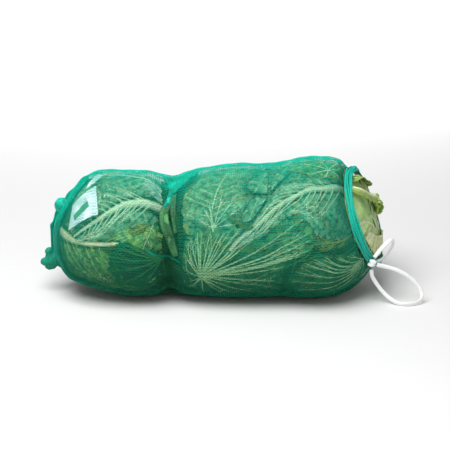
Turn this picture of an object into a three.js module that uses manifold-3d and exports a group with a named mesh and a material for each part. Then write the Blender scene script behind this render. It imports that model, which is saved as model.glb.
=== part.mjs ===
// A net of three cabbages lying on its side, in millimetres, +Z up.
// +X runs along the bag to its open mouth and -Y is the side with the label and the knot.
// The origin is on the floor, under the middle of the bag.
import * as THREE from "three";
import { mergeVertices } from "three/addons/utils/BufferGeometryUtils.js";
import Module from "manifold-3d";

const wasm = await Module();
wasm.setup();

const { cos, sin, exp, max, sign, abs, PI } = Math;
const rad = THREE.MathUtils.degToRad;

// ---- Bag: upper and lower outline in the middle plane, as pairs of X and Z ----
const UPPER_LINE = [
  [-277, 104], [-274, 128], [-263, 152], [-246, 178], [-224, 203], [-200, 216], [-170, 217.5],
  [-138, 216.5], [-104, 214.5], [-76, 206.5], [-64, 206.5], [-36, 216], [0, 223.5], [44, 228.5],
  [88, 228.5], [120, 231], [150, 238], [178, 241], [202, 238.5], [220, 232],
];
const LOWER_LINE = [
  [-277, 90], [-274, 70], [-264, 48], [-248, 29], [-222, 18], [-194, 10], [-166, 3],
  [-138, -1], [-104, 0], [-78, 5], [-66, 5], [-36, 1], [0, -1], [44, -3],
  [88, -2], [124, -1], [158, -3], [194, -1.5], [230, 5], [262, 22],
];
const SIDE_SPREAD = 1.03; // a lying bag is this much wider than it is high
const BODY_ROUNDNESS = 2.15; // exponent of the section, 2 for a true ellipse
const BODY_RINGS = 52;
const SEGMENTS = 56;

// Pleats where the net is drawn in between the first two heads, and gathers at the mouth
const WAIST_X = -70;
const WAIST_WIDTH = 15;
const WAIST_PLEAT = 3.2;
const WAIST_DRAW = 14; // the net is drawn in this much between the heads, at the bag's two sides
const WAIST_DRAW_WIDTH = 17;
const MOUTH_PLEAT = 2;
const PLEATS = 16;

// Sewn seam of the closed end, a ridge round the end in the middle plane
const SEAM_HEIGHT = 5;
const SEAM_SCALLOP = 2.5;
const SCALLOPS = 5; // radians of the scallop's wave for each section
const SEAM_WIDTH = 10;
const SEAM_SECTIONS = 5;

// Corner ears of the net at the two ends of that seam: centre and half sizes
const UPPER_EAR = [
  [[-263, 0, 157], [14.5, 12, 14.5]],
  [[-250, 0, 152], [9, 9, 9]],
];
const LOWER_EAR = [
  [[-279, -2, 60], [15, 9, 17]],
  [[-291, -4, 56], [11, 7, 9.5]],
  [[-283, -2, 72], [11, 8, 11]],
  [[-283, -3, 48], [12, 7, 8]],
  [[-268, 0, 62], [12, 9, 14]],
];

// ---- Mouth: the drawn-in ring that the last head pokes out of ----
const MOUTH_CENTRE = new THREE.Vector3(266, 3, 137);
const MOUTH_TILT = rad(19); // leans back from upright
const MOUTH_TURN = rad(13); // and turns to the -Y side
const MOUTH_RADIUS = 83;
const BAG_END = -8.5; // the net body ends this far behind the middle of the hem
const BAG_END_RADIUS = 89;
const SEAT_DEPTH = -20.3; // the last head is seated in a recess of the body
const SEAT_RADIUS = 84.8;
const SEAT_LIP = 3; // depth of the bevelled lip of that recess
const END_BULGE = 2; // the closed end's middle stands out by this much

// Hem: a gathered band that lies on the head like a cone
const HEM_HALF_WIDTH = 9.5;
const HEM_CONE = rad(35);
const HEM_THICKNESS = 3;
const HEM_FOLD = 1.1;
const HEM_FOLDS = 4;
const HEM_STEPS = 52;
const HEM_SIDES = 12;
const HEM_NUBS = [-24, 168, 186]; // ruffles that stick out, in degrees from the top
const HEM_NUB_HEIGHT = 6;
const HEM_NUB_WIDTH = 6;

// Exposed top of the last head, a flattened dome in the frame of the mouth
const DOME_RADIUS = 84;
const DOME_HEIGHT = 41;
const DOME_BASE = -30;
const DOME_CUT = -20;
const DOME_ROUNDNESS = 2.6;
const DOME_RINGS = 10;
const DOME_SEGMENTS = 36;
const DOME_RELIEF = 0.7; // depth of the steps where leaf edges wrap over each other
const WRAPS = 3;
const WRAP_TWIST = 5;

// Label: corners on the net as [section, degrees from the top], and thickness
const LABEL_CORNERS = [[3.2, 68], [5.33, 58], [5.15, 26], [3.5, 38]];
const FOLD_CORNERS = [[4.42, 27], [5.05, 21.5], [5.5, 8], [5.15, 6]];
const LABEL_LIFT = 1;
const LABEL_THICKNESS = 0.8;
const CARD_GRID = [9, 6];
const FOLD_GRID = [3, 6];

// Drawstring: a soft white tape, with its knot on the near side of the hem
const TAPE_WIDTH = 6.4;
const TAPE_THICKNESS = 3.2;
const TAPE_SIDES = 8;
const KNOT_CENTRE = [276.5, -65, 74];
const KNOT_SIZE = [6.4, 5.4, 9];
const KNOT_TURN = rad(25);
const LOOP_STEPS = 30;
const BOW_STEPS = 20;
const LOOP_ROUTE = [
  [284.5, -65, 71], [291.5, -64, 69.3], [301, -63, 66.8], [313, -62, 63], [325.5, -61, 57.6],
  [338, -60, 50], [349.5, -59, 40.4], [359, -58.5, 29], [364.6, -60, 18.5], [365, -64, 10.8],
  [360, -70, 6.1], [351.5, -75.5, 4.2], [341, -78.5, 3.9], [330, -78, 3.9], [319.5, -73, 4.9],
  [309.5, -67, 9.6], [299.8, -62.5, 17.4], [290.8, -60.5, 27.6], [282.8, -60.8, 39.5], [277.3, -62.5, 51],
  [275.8, -64.3, 62.5],
];
const BOW_ROUTE = [
  [280, -64.5, 84.5], [284.5, -63, 90], [291, -59, 97], [298.5, -54.5, 103.5], [305.5, -49, 108],
  [311.5, -43.5, 108.5], [314.5, -39, 104], [314, -37.5, 97], [309.5, -39, 89.5], [303.5, -43.5, 82.5],
  [297, -49.5, 77.5], [290.5, -55.5, 75.5], [285, -60.5, 76],
];

const NET_GREEN = { color: 0x1c9c7c, roughness: 0.75, metalness: 0 };
const HEM_GREEN = { color: 0x14b59a, roughness: 0.6, metalness: 0 };
const HEAD_GREEN = { color: 0xa9c38c, roughness: 0.5, metalness: 0 };
const LEAF_PALE = { color: 0xc3d09a, roughness: 0.5, metalness: 0 };
const LEAF_DARK = { color: 0x5d8a2c, roughness: 0.5, metalness: 0 };
const LABEL_WHITE = { color: 0xe6f1f3, roughness: 0.8, metalness: 0 };
const TAPE_WHITE = { color: 0xf0eff0, roughness: 0.85, metalness: 0 };

const group = new THREE.Group();

function addPiece(name, geometry, finish) {
  const mesh = new THREE.Mesh(geometry, new THREE.MeshStandardMaterial(finish));
  mesh.name = name;
  group.add(mesh);
}

const clamp01 = (value) => THREE.MathUtils.clamp(value, 0, 1);
const bump = (distance, width) => exp(-((distance / width) ** 2));

// ---- Frame of the mouth: out of the bag, up in its plane and towards the near side ----
const mouthOut = new THREE.Vector3(
  cos(MOUTH_TILT) * cos(MOUTH_TURN),
  -cos(MOUTH_TILT) * sin(MOUTH_TURN),
  sin(MOUTH_TILT),
);
const mouthUp = new THREE.Vector3(
  -sin(MOUTH_TILT) * cos(MOUTH_TURN),
  sin(MOUTH_TILT) * sin(MOUTH_TURN),
  cos(MOUTH_TILT),
);
const mouthNear = new THREE.Vector3(-sin(MOUTH_TURN), -cos(MOUTH_TURN), 0);

function mouthPoint(radius, angle, out) {
  return MOUTH_CENTRE.clone()
    .addScaledVector(mouthUp, radius * cos(angle))
    .addScaledVector(mouthNear, radius * sin(angle))
    .addScaledVector(mouthOut, out);
}

// ---- Closed meshes from grids of points ----
function geometryOf(points, faces) {
  const geometry = new THREE.BufferGeometry();
  const position = new Float32Array(points.flatMap((p) => [p.x, p.y, p.z]));
  geometry.setAttribute("position", new THREE.BufferAttribute(position, 3));
  geometry.setIndex(faces);
  return geometry;
}

// Rings of equal length, each closed on itself, with a point at both ends.
function capsule(startPoint, rings, endPoint) {
  const count = rings[0].length;
  const points = [startPoint, ...rings.flat(), endPoint];
  const at = (ring, i) => 1 + ring * count + (i % count);
  const last = points.length - 1;
  const faces = [];
  for (let i = 0; i < count; i++) {
    faces.push(0, at(0, i + 1), at(0, i));
    for (let r = 0; r + 1 < rings.length; r++) {
      faces.push(at(r, i), at(r, i + 1), at(r + 1, i));
      faces.push(at(r, i + 1), at(r + 1, i + 1), at(r + 1, i));
    }
    faces.push(at(rings.length - 1, i), at(rings.length - 1, i + 1), last);
  }
  return geometryOf(points, faces);
}

// Rings joined end to end into one closed loop.
function loopOfRings(rings) {
  const count = rings[0].length;
  const at = (ring, i) => (ring % rings.length) * count + (i % count);
  const faces = [];
  for (let r = 0; r < rings.length; r++) {
    for (let i = 0; i < count; i++) {
      faces.push(at(r, i), at(r, i + 1), at(r + 1, i));
      faces.push(at(r, i + 1), at(r + 1, i + 1), at(r + 1, i));
    }
  }
  return geometryOf(rings.flat(), faces);
}

// A thin sheet between two grids, point(u, v, side) with side 0 underneath and 1 on top.
function thinSheet(columns, rows, point) {
  const points = [];
  for (let side = 0; side < 2; side++) {
    for (let j = 0; j <= rows; j++) {
      for (let i = 0; i <= columns; i++) points.push(point(i / columns, j / rows, side));
    }
  }
  const at = (i, j, side) => (side * (rows + 1) + j) * (columns + 1) + i;
  const faces = [];
  const quad = (a, b, c, d) => faces.push(a, b, c, a, c, d);
  for (let j = 0; j < rows; j++) {
    for (let i = 0; i < columns; i++) {
      quad(at(i, j, 1), at(i + 1, j, 1), at(i + 1, j + 1, 1), at(i, j + 1, 1));
      faces.push(at(i, j, 0), at(i + 1, j + 1, 0), at(i + 1, j, 0));
      faces.push(at(i, j, 0), at(i, j + 1, 0), at(i + 1, j + 1, 0));
    }
  }
  for (let i = 0; i < columns; i++) {
    quad(at(i, 0, 0), at(i + 1, 0, 0), at(i + 1, 0, 1), at(i, 0, 1));
    quad(at(i + 1, rows, 0), at(i, rows, 0), at(i, rows, 1), at(i + 1, rows, 1));
  }
  for (let j = 0; j < rows; j++) {
    quad(at(0, j + 1, 0), at(0, j, 0), at(0, j, 1), at(0, j + 1, 1));
    quad(at(columns, j, 0), at(columns, j + 1, 0), at(columns, j + 1, 1), at(columns, j, 1));
  }
  return facingOut(geometryOf(points, faces));
}

function facingOut(geometry) {
  const p = geometry.getAttribute("position");
  const index = geometry.getIndex().array;
  const [a, b, c] = [new THREE.Vector3(), new THREE.Vector3(), new THREE.Vector3()];
  let volume = 0;
  for (let i = 0; i < index.length; i += 3) {
    a.fromBufferAttribute(p, index[i]);
    b.fromBufferAttribute(p, index[i + 1]);
    c.fromBufferAttribute(p, index[i + 2]);
    volume += a.dot(b.cross(c));
  }
  if (volume < 0) {
    for (let i = 0; i < index.length; i += 3) {
      [index[i + 1], index[i + 2]] = [index[i + 2], index[i + 1]];
    }
  }
  return geometry;
}

// ---- Joining solids ----
function solidOf(geometry) {
  const bare = geometry.index ? geometry.clone() : geometry;
  for (const name of ["normal", "uv"]) bare.deleteAttribute(name);
  const merged = mergeVertices(bare, 1e-3);
  return new wasm.Manifold(
    new wasm.Mesh({
      numProp: 3,
      vertProperties: merged.getAttribute("position").array,
      triVerts: new Uint32Array(merged.getIndex().array),
    }),
  );
}

function geometryOfSolid(solid) {
  const mesh = solid.getMesh();
  const points = [];
  for (let i = 0; i < mesh.numVert; i++) {
    points.push(new THREE.Vector3(...mesh.vertProperties.slice(i * mesh.numProp, i * mesh.numProp + 3)));
  }
  return geometryOf(points, Array.from(mesh.triVerts));
}

// ---- Bag surface ----
const bagEndCentre = mouthPoint(0, 0, BAG_END);
const endOfLine = (way) => {
  const p = mouthPoint(way * BAG_END_RADIUS, 0, BAG_END);
  return [p.x, p.z];
};
const lineOf = (pairs, way) =>
  new THREE.SplineCurve([...pairs, endOfLine(way)].map(([x, z]) => new THREE.Vector2(x, z)));
const upperLine = lineOf(UPPER_LINE, 1);
const lowerLine = lineOf(LOWER_LINE, -1);
const SECTIONS = UPPER_LINE.length;
const MOUTH_SECTIONS = 3; // over the last of them the sections turn into the mouth's plane

function bagPoint(section, angle, lift = 0) {
  const top = upperLine.getPoint(section / SECTIONS);
  const bottom = lowerLine.getPoint(section / SECTIONS);
  const centre = top.clone().add(bottom).multiplyScalar(0.5);
  const half = top.clone().sub(bottom).multiplyScalar(0.5);
  const height = half.length();
  const turned = clamp01((section - SECTIONS + MOUTH_SECTIONS) / MOUTH_SECTIONS);
  const width = height * THREE.MathUtils.lerp(SIDE_SPREAD, 1, turned);
  const power = 2 / THREE.MathUtils.lerp(BODY_ROUNDNESS, 2, turned);
  let up = sign(cos(angle)) * abs(cos(angle)) ** power;
  let side = sign(sin(angle)) * abs(sin(angle)) ** power;

  const nearMouth = 4 * turned * (1 - turned);
  const pleat = WAIST_PLEAT * bump(centre.x - WAIST_X, WAIST_WIDTH) + MOUTH_PLEAT * nearMouth;
  const drawn = WAIST_DRAW * bump(centre.x - WAIST_X, WAIST_DRAW_WIDTH) * sin(angle) ** 2;
  const inEnd = clamp01(1 - section / SEAM_SECTIONS);
  const scallop = SEAM_HEIGHT + SEAM_SCALLOP * sin(section * SCALLOPS);
  const seam = scallop * inEnd * bump(side * width, SEAM_WIDTH);
  const relief = lift + pleat * cos(PLEATS * angle) + seam - drawn;
  up *= 1 + relief / height;
  side *= 1 + relief / height;
  return new THREE.Vector3(
    centre.x + half.x * up + turned * mouthNear.x * width * side,
    -width * side * THREE.MathUtils.lerp(1, -mouthNear.y, turned) +
      turned * (bagEndCentre.y + mouthUp.y * BAG_END_RADIUS * up),
    max(0, centre.y + half.y * up),
  );
}

const ringOf = (count, point) => Array.from({ length: count }, (_, i) => point((i / count) * 2 * PI));

function netBag() {
  const rings = [];
  for (let k = 0; k <= BODY_RINGS; k++) {
    const section = (k / BODY_RINGS) * SECTIONS;
    rings.push(ringOf(SEGMENTS, (angle) => bagPoint(section, angle)));
  }
  rings.push(ringOf(SEGMENTS, (angle) => mouthPoint(SEAT_RADIUS + 1, angle, BAG_END - SEAT_LIP)));
  rings.push(ringOf(SEGMENTS, (angle) => mouthPoint(SEAT_RADIUS, angle, SEAT_DEPTH)));
  const pole = bagPoint(0, PI / 2).setY(0).add(new THREE.Vector3(-END_BULGE, 0, 0));
  const body = facingOut(capsule(pole, rings, mouthPoint(0, 0, SEAT_DEPTH)));
  let solid = solidOf(body);
  for (const [centre, size] of [...UPPER_EAR, ...LOWER_EAR]) {
    const lobe = new THREE.SphereGeometry(1, 14, 10).scale(...size).translate(...centre);
    solid = solid.add(solidOf(lobe));
  }
  return geometryOfSolid(solid);
}
addPiece("net_bag", netBag(), NET_GREEN);

// ---- Hem of the mouth ----
function hem() {
  const rings = [];
  for (let step = 0; step < HEM_STEPS; step++) {
    const angle = (step / HEM_STEPS) * 2 * PI;
    let nub = 0;
    for (const place of HEM_NUBS) {
      const away = THREE.MathUtils.euclideanModulo(THREE.MathUtils.radToDeg(angle) - place + 180, 360) - 180;
      nub += HEM_NUB_HEIGHT * bump(away, HEM_NUB_WIDTH);
    }
    const ring = [];
    for (let i = 0; i < HEM_SIDES; i++) {
      const turn = (i / HEM_SIDES) * 2 * PI;
      const along = HEM_HALF_WIDTH * cos(turn);
      const outer = max(0, sin(turn));
      const folds = HEM_FOLD * cos((along / HEM_HALF_WIDTH) * HEM_FOLDS * PI) * outer;
      const stands = HEM_THICKNESS * sin(turn) + folds + nub * outer;
      const radius = MOUTH_RADIUS - along * sin(HEM_CONE) + stands * cos(HEM_CONE);
      ring.push(mouthPoint(radius, angle, along * cos(HEM_CONE) + stands * sin(HEM_CONE)));
    }
    rings.push(ring);
  }
  return facingOut(loopOfRings(rings));
}
addPiece("mouth_hem", hem(), HEM_GREEN);

// ---- Exposed head ----
function mouthHead() {
  const cut = ((DOME_CUT - DOME_BASE) / DOME_HEIGHT) ** (DOME_ROUNDNESS / 2);
  const reach = Math.acos(cut);
  const rings = [];
  for (let k = 1; k <= DOME_RINGS; k++) {
    const turn = (k / DOME_RINGS) * reach;
    const radius = DOME_RADIUS * sin(turn) ** (2 / DOME_ROUNDNESS);
    const out = DOME_BASE + DOME_HEIGHT * cos(turn) ** (2 / DOME_ROUNDNESS);
    const wrap = (angle) => DOME_RELIEF * sin(WRAPS * angle + WRAP_TWIST * turn) * sin(2 * turn);
    rings.push(ringOf(DOME_SEGMENTS, (angle) => mouthPoint(radius - abs(wrap(angle)), angle, out)));
  }
  return facingOut(capsule(mouthPoint(0, 0, DOME_BASE + DOME_HEIGHT), rings, mouthPoint(0, 0, DOME_CUT)));
}
addPiece("mouth_head", mouthHead(), HEAD_GREEN);

// A point at a share of the dome's radius, lifted off it.
function domePoint(share, angle, lift) {
  const rise = (1 - clamp01(share) ** DOME_ROUNDNESS) ** (1 / DOME_ROUNDNESS);
  return mouthPoint(share * (DOME_RADIUS + lift), angle, DOME_BASE + (DOME_HEIGHT + lift) * rise);
}

// Leaf that wraps the dome: it runs from under the hem (root) to a free wavy rim.
// Root and rim are shares of the dome's radius, from and to are degrees from the top.
const WRAPPER_COLUMNS = 18;
const WRAPPER_ROWS = 6;
const RIM_ROUNDING = 0.55; // how far the rim draws back towards the root at its two ends
const RIM_THINNING = 0.45; // share of the thickness lost between root and rim
const WAVE_START = 0.8;
function wrapperLeaf({ from, to, root, rim, rootLift, rimLift, thickness, waves, waveDepth }) {
  return thinSheet(WRAPPER_COLUMNS, WRAPPER_ROWS, (u, v, side) => {
    const angle = rad(THREE.MathUtils.lerp(from, to, u));
    const bend = 1 - (2 * u - 1) ** 2;
    const wave = waveDepth * sin(waves * PI * u + WAVE_START);
    const rimShare = rim + (1 - bend) * (root - rim) * RIM_ROUNDING;
    const share = THREE.MathUtils.lerp(root, rimShare, v);
    const thin = thickness * (1 - RIM_THINNING * v);
    const lift = THREE.MathUtils.lerp(rootLift, rimLift + wave, v) - (1 - side) * thin;
    return domePoint(share, angle, lift);
  });
}
const WRAPPERS = {
  mouth_leaf_back: {
    finish: LEAF_DARK, from: -58, to: 14, root: 0.86, rim: 0.5, rootLift: 4.5, rimLift: 12,
    thickness: 2.4, waves: 3, waveDepth: 1.6,
  },
  mouth_leaf_upper: {
    finish: LEAF_PALE, from: 84, to: 182, root: 0.87, rim: 0.22, rootLift: 4, rimLift: 5.2,
    thickness: 2.4, waves: 2, waveDepth: 0.6,
  },
  mouth_leaf_lower: {
    finish: LEAF_PALE, from: 108, to: 222, root: 0.8, rim: 0.46, rootLift: 8, rimLift: 9.5,
    thickness: 2.4, waves: 3, waveDepth: 0.8,
  },
};
for (const [name, leaf] of Object.entries(WRAPPERS)) addPiece(name, wrapperLeaf(leaf), leaf.finish);

// Leaf edge that arches over the dome: share of the dome's radius, degrees, lift and width.
const ARCH_PATH = [
  [0.79, 32, 6, 8], [0.7, 31, 9.5, 10], [0.58, 27, 12, 12], [0.46, 20, 14, 13], [0.36, 4, 16, 15],
  [0.34, -24, 18, 17], [0.38, -58, 18, 17], [0.42, -92, 14, 13],
];
const ARCH_THICKNESS = 4.4;
const ARCH_EDGE = 0.3; // share of the thickness that is left at the edges
const ARCH_DROOP = 2.5; // the edges hang this much lower than the middle
const ARCH_COLUMNS = 24;
const ARCH_ROWS = 6;
const ARCH_ROOT_DEPTH = 40; // the strip faces away from a point this far under the dome
function archLeaf() {
  const places = ARCH_PATH.map(([share, angle, lift]) => domePoint(share, rad(angle), lift));
  const path = new THREE.CatmullRomCurve3(places);
  const widths = new THREE.SplineCurve(ARCH_PATH.map((row, i) => new THREE.Vector2(i, row[3])));
  const inside = mouthPoint(0, 0, DOME_BASE - ARCH_ROOT_DEPTH);
  return thinSheet(ARCH_COLUMNS, ARCH_ROWS, (u, v, side) => {
    const centre = path.getPoint(u);
    const away = centre.clone().sub(inside).normalize();
    const across = path.getTangent(u).cross(away).normalize();
    const half = widths.getPoint(u).y / 2;
    const place = 2 * v - 1;
    const thickness = ARCH_THICKNESS * (ARCH_EDGE + (1 - ARCH_EDGE) * (1 - place ** 2));
    const droop = -ARCH_DROOP * place ** 2;
    const lift = droop + (side - 0.5) * thickness;
    return centre.addScaledVector(across, half * place).addScaledVector(away, lift);
  });
}
addPiece("mouth_leaf_arch", archLeaf(), LEAF_DARK);

// ---- Label: a card on the net, and the strip of it that is folded back ----
function cardOn(corners, columns, rows) {
  const [a, b, c, d] = corners.map(([section, angle]) => new THREE.Vector2(section, rad(angle)));
  return thinSheet(columns, rows, (u, v, side) => {
    const low = a.clone().lerp(b, u);
    const high = d.clone().lerp(c, u);
    const place = low.lerp(high, v);
    return bagPoint(place.x, place.y, LABEL_LIFT + side * LABEL_THICKNESS);
  });
}
addPiece("label_card", cardOn(LABEL_CORNERS, ...CARD_GRID), LABEL_WHITE);
addPiece("label_fold", cardOn(FOLD_CORNERS, ...FOLD_GRID), LABEL_WHITE);

// ---- Drawstring ----
function knot() {
  const geometry = new THREE.SphereGeometry(1, 16, 12);
  geometry.scale(...KNOT_SIZE).rotateY(KNOT_TURN).translate(...KNOT_CENTRE);
  return geometry;
}
addPiece("drawstring_knot", knot(), TAPE_WHITE);

function tape(route, steps) {
  const path = new THREE.CatmullRomCurve3(route.map((p) => new THREE.Vector3(...p)));
  const section = new THREE.Shape(
    Array.from({ length: TAPE_SIDES }, (_, i) => {
      const turn = ((i + 0.5) / TAPE_SIDES) * 2 * PI;
      return new THREE.Vector2((TAPE_WIDTH / 2) * cos(turn), (TAPE_THICKNESS / 2) * sin(turn));
    }),
  );
  return new THREE.ExtrudeGeometry(section, { steps, bevelEnabled: false, extrudePath: path });
}
addPiece("drawstring_loop", tape(LOOP_ROUTE, LOOP_STEPS), TAPE_WHITE);
addPiece("drawstring_bow", tape(BOW_ROUTE, BOW_STEPS), TAPE_WHITE);

export default group;
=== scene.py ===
"""A net of three cabbages on its side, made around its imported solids."""

import random
from math import cos, pi, radians, sin

import bpy
import numpy as np
from bpy.props import FloatProperty, FloatVectorProperty, IntProperty, PointerProperty
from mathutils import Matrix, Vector, noise
from mathutils.kdtree import KDTree


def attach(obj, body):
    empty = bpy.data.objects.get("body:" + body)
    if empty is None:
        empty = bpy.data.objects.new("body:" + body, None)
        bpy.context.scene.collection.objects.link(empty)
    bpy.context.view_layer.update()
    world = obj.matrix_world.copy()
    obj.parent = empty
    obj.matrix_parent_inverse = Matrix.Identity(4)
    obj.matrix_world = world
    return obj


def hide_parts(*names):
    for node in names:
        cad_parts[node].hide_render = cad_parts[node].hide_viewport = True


bl_info = {
    "name": "Net of cabbages",
    "version": (1, 0, 0),
    "blender": (4, 5, 0),
    "location": "View3D > Sidebar > Cabbages",
    "description": "Three cabbages in a green drawstring net",
    "category": "Add Mesh",
}

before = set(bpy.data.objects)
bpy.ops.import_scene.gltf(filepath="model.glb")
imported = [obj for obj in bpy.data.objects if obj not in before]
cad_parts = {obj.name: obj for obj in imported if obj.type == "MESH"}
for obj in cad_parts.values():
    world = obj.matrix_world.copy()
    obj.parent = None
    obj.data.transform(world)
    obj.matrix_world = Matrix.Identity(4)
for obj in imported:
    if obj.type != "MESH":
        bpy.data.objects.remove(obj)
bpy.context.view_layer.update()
MM = 0.001

# ---- Net's surface, in millimetres: the outline in the middle plane as pairs of X and Z ----
UPPER_LINE = [
    (-277, 104), (-274, 128), (-263, 152), (-246, 178), (-224, 203), (-200, 216), (-170, 217.5),
    (-138, 216.5), (-104, 214.5), (-76, 206.5), (-64, 206.5), (-36, 216), (0, 223.5), (44, 228.5),
    (88, 228.5), (120, 231), (150, 238), (178, 241), (202, 238.5), (220, 232),
]
LOWER_LINE = [
    (-277, 90), (-274, 70), (-264, 48), (-248, 29), (-222, 18), (-194, 10), (-166, 3), (-138, -1),
    (-104, 0), (-78, 5), (-66, 5), (-36, 1), (0, -1), (44, -3), (88, -2), (124, -1), (158, -3),
    (194, -1.5), (230, 5), (262, 22),
]
SIDE_SPREAD = 1.03
ROUNDNESS = 2.15
WAIST_X, WAIST_WIDTH, WAIST_PLEAT = -70, 15, 3.2
WAIST_DRAW, WAIST_DRAW_WIDTH = 14, 17
MOUTH_PLEAT = 2.0
PLEATS = 16

# ---- Mouth: the drawn-in ring that the last head pokes out of ----
MOUTH_CENTRE = np.array([266.0, 3.0, 137.0])
MOUTH_TILT = radians(19)
MOUTH_TURN = radians(13)
MOUTH_RADIUS = 83
BAG_END = -8.5
BAG_END_RADIUS = 89
MOUTH_SECTIONS = 3
MOUTH_OUT = np.array(
    [cos(MOUTH_TILT) * cos(MOUTH_TURN), -cos(MOUTH_TILT) * sin(MOUTH_TURN), sin(MOUTH_TILT)]
)
MOUTH_UP = np.array(
    [-sin(MOUTH_TILT) * cos(MOUTH_TURN), sin(MOUTH_TILT) * sin(MOUTH_TURN), cos(MOUTH_TILT)]
)
MOUTH_NEAR = np.array([-sin(MOUTH_TURN), -cos(MOUTH_TURN), 0.0])
DOME_RADIUS, DOME_HEIGHT, DOME_BASE, DOME_CUT, DOME_ROUNDNESS = 84, 41, -30, -20, 3.1

# ---- Drawstring's routes, in metres, the same points as its solids follow ----
LOOP_ROUTE = [
    (0.2845, -0.065, 0.071), (0.2915, -0.064, 0.0693), (0.301, -0.063, 0.0668),
    (0.313, -0.062, 0.063), (0.3255, -0.061, 0.0576), (0.338, -0.060, 0.050),
    (0.3495, -0.059, 0.0404), (0.359, -0.0585, 0.029), (0.3646, -0.060, 0.0185),
    (0.365, -0.064, 0.0108), (0.360, -0.070, 0.0061), (0.3515, -0.0755, 0.0042),
    (0.341, -0.0785, 0.0039), (0.330, -0.078, 0.0039), (0.3195, -0.073, 0.0049),
    (0.3095, -0.067, 0.0096), (0.2998, -0.0625, 0.0174), (0.2908, -0.0605, 0.0276),
    (0.2828, -0.0608, 0.0395), (0.2773, -0.0625, 0.051), (0.2758, -0.0643, 0.0625),
]
BOW_ROUTE = [
    (0.280, -0.0645, 0.0845), (0.2845, -0.063, 0.090), (0.291, -0.059, 0.097),
    (0.2985, -0.0545, 0.1035), (0.3055, -0.049, 0.108), (0.3115, -0.0435, 0.1085),
    (0.3145, -0.039, 0.104), (0.314, -0.0375, 0.097), (0.3095, -0.039, 0.0895),
    (0.3035, -0.0435, 0.0825), (0.297, -0.0495, 0.0775), (0.2905, -0.0555, 0.0755),
    (0.285, -0.0605, 0.076),
]
KNOT_CENTRE = np.array([276.5, -65.0, 74.0])
KNOT_TURN = radians(25)


def linear(hex_colour):
    """An sRGB hex colour as linear red, green and blue."""
    parts = [int(hex_colour[i : i + 2], 16) / 255 for i in (1, 3, 5)]
    return tuple(c / 12.92 if c <= 0.04045 else ((c + 0.055) / 1.055) ** 2.4 for c in parts)


# ---- What a user would change ----
class NetSettings(bpy.types.PropertyGroup):
    wales: IntProperty(name="Wales", description="Lengthwise threads round the bag", default=210, min=24)
    wale_width: FloatProperty(
        name="Wale width", description="Width of a lengthwise thread",
        default=0.66 * MM, unit="LENGTH", precision=5,
    )
    inlay_width: FloatProperty(
        name="Inlay width", description="Width of a zigzag thread between two wales",
        default=0.5 * MM, unit="LENGTH", precision=5,
    )
    row_pitch: FloatProperty(
        name="Row pitch", description="Length of one stitch along the bag",
        default=3.4 * MM, unit="LENGTH", precision=5,
    )
    thread: FloatVectorProperty(
        name="Thread", description="Colour of the net's threads", subtype="COLOR", default=linear("#06ccac"),
    )
    hem: FloatVectorProperty(
        name="Hem", description="Colour of the gathered hem", subtype="COLOR", default=linear("#08d2b6"),
    )


class CabbageSettings(bpy.types.PropertyGroup):
    thickness: FloatProperty(
        name="Leaf thickness", description="Thickness of a leaf's blade", default=0.9 * MM,
        unit="LENGTH", precision=5,
    )
    grain: FloatProperty(
        name="Mesh size", description="Distance between the vertices of a leaf", default=1.45 * MM,
        unit="LENGTH", precision=5,
    )
    pucker: FloatProperty(
        name="Pucker", description="Height of the crinkles between the veins", default=1.6 * MM,
        unit="LENGTH", precision=5,
    )


class TrimSettings(bpy.types.PropertyGroup):
    tape_width: FloatProperty(
        name="Tape width", description="Width of the drawstring tape", default=7 * MM,
        unit="LENGTH", precision=5,
    )
    tape: FloatVectorProperty(
        name="Tape", description="Colour of the drawstring", subtype="COLOR", default=linear("#fcfbfc"),
    )
    card: FloatVectorProperty(
        name="Card", description="Colour of the label's card", subtype="COLOR", default=linear("#dceef4"),
    )
    print_green: FloatVectorProperty(
        name="Green field", description="Colour of the label's plain field", subtype="COLOR",
        default=linear("#4f9a78"),
    )


class StageSettings(bpy.types.PropertyGroup):
    floor: FloatVectorProperty(
        name="Floor", description="Colour of the floor", subtype="COLOR", default=linear("#e3e3e3"),
    )
    key_power: FloatProperty(
        name="Key light", description="Power of the large soft light overhead", default=70.0, unit="POWER",
    )
    fill_power: FloatProperty(
        name="Fill light", description="Power of the soft light in front", default=3.0, unit="POWER",
    )
    back_power: FloatProperty(
        name="Back light", description="Power of the light over the floor behind", default=85.0, unit="POWER",
    )
    daylight: FloatProperty(
        name="Room light", description="Strength of the even light of the room", default=0.27,
    )


# ---- Curves and surfaces ----
TANGENT_STEP = 0.004  # share of a path over which its direction is taken


def along(points, share):
    """Points on the uniform Catmull-Rom curve through points, at shares 0 to 1 of its spans."""
    points = np.asarray(points, float)
    last = len(points) - 1
    place = np.clip(np.asarray(share, float), 0, 1) * last
    i = np.minimum(place.astype(int), last - 1)
    t = (place - i)[..., None]
    p0, p1 = points[np.maximum(i - 1, 0)], points[i]
    p2, p3 = points[i + 1], points[np.minimum(i + 2, last)]
    slope = t * (p2 - p0)
    bend = t**2 * (2 * p0 - 5 * p1 + 4 * p2 - p3)
    return 0.5 * (2 * p1 + slope + bend + t**3 * (3 * p1 - p0 - 3 * p2 + p3))


def bump(distance, width):
    """A hump of height 1 at distance 0 that fades over about a width."""
    return np.exp(-((distance / width) ** 2))


def ease(low, high, value):
    """A smooth step from 0 at low to 1 at high."""
    t = np.clip((value - low) / (high - low), 0, 1)
    return t * t * (3 - 2 * t)


def mix(a, b, t):
    return a + (b - a) * t


def length_of(points):
    return np.linalg.norm(np.diff(points, axis=0), axis=1).sum()


def unit(vectors):
    """Vectors of length 1 in the same directions."""
    return vectors / np.maximum(np.linalg.norm(vectors, axis=-1, keepdims=True), 1e-6)


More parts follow.
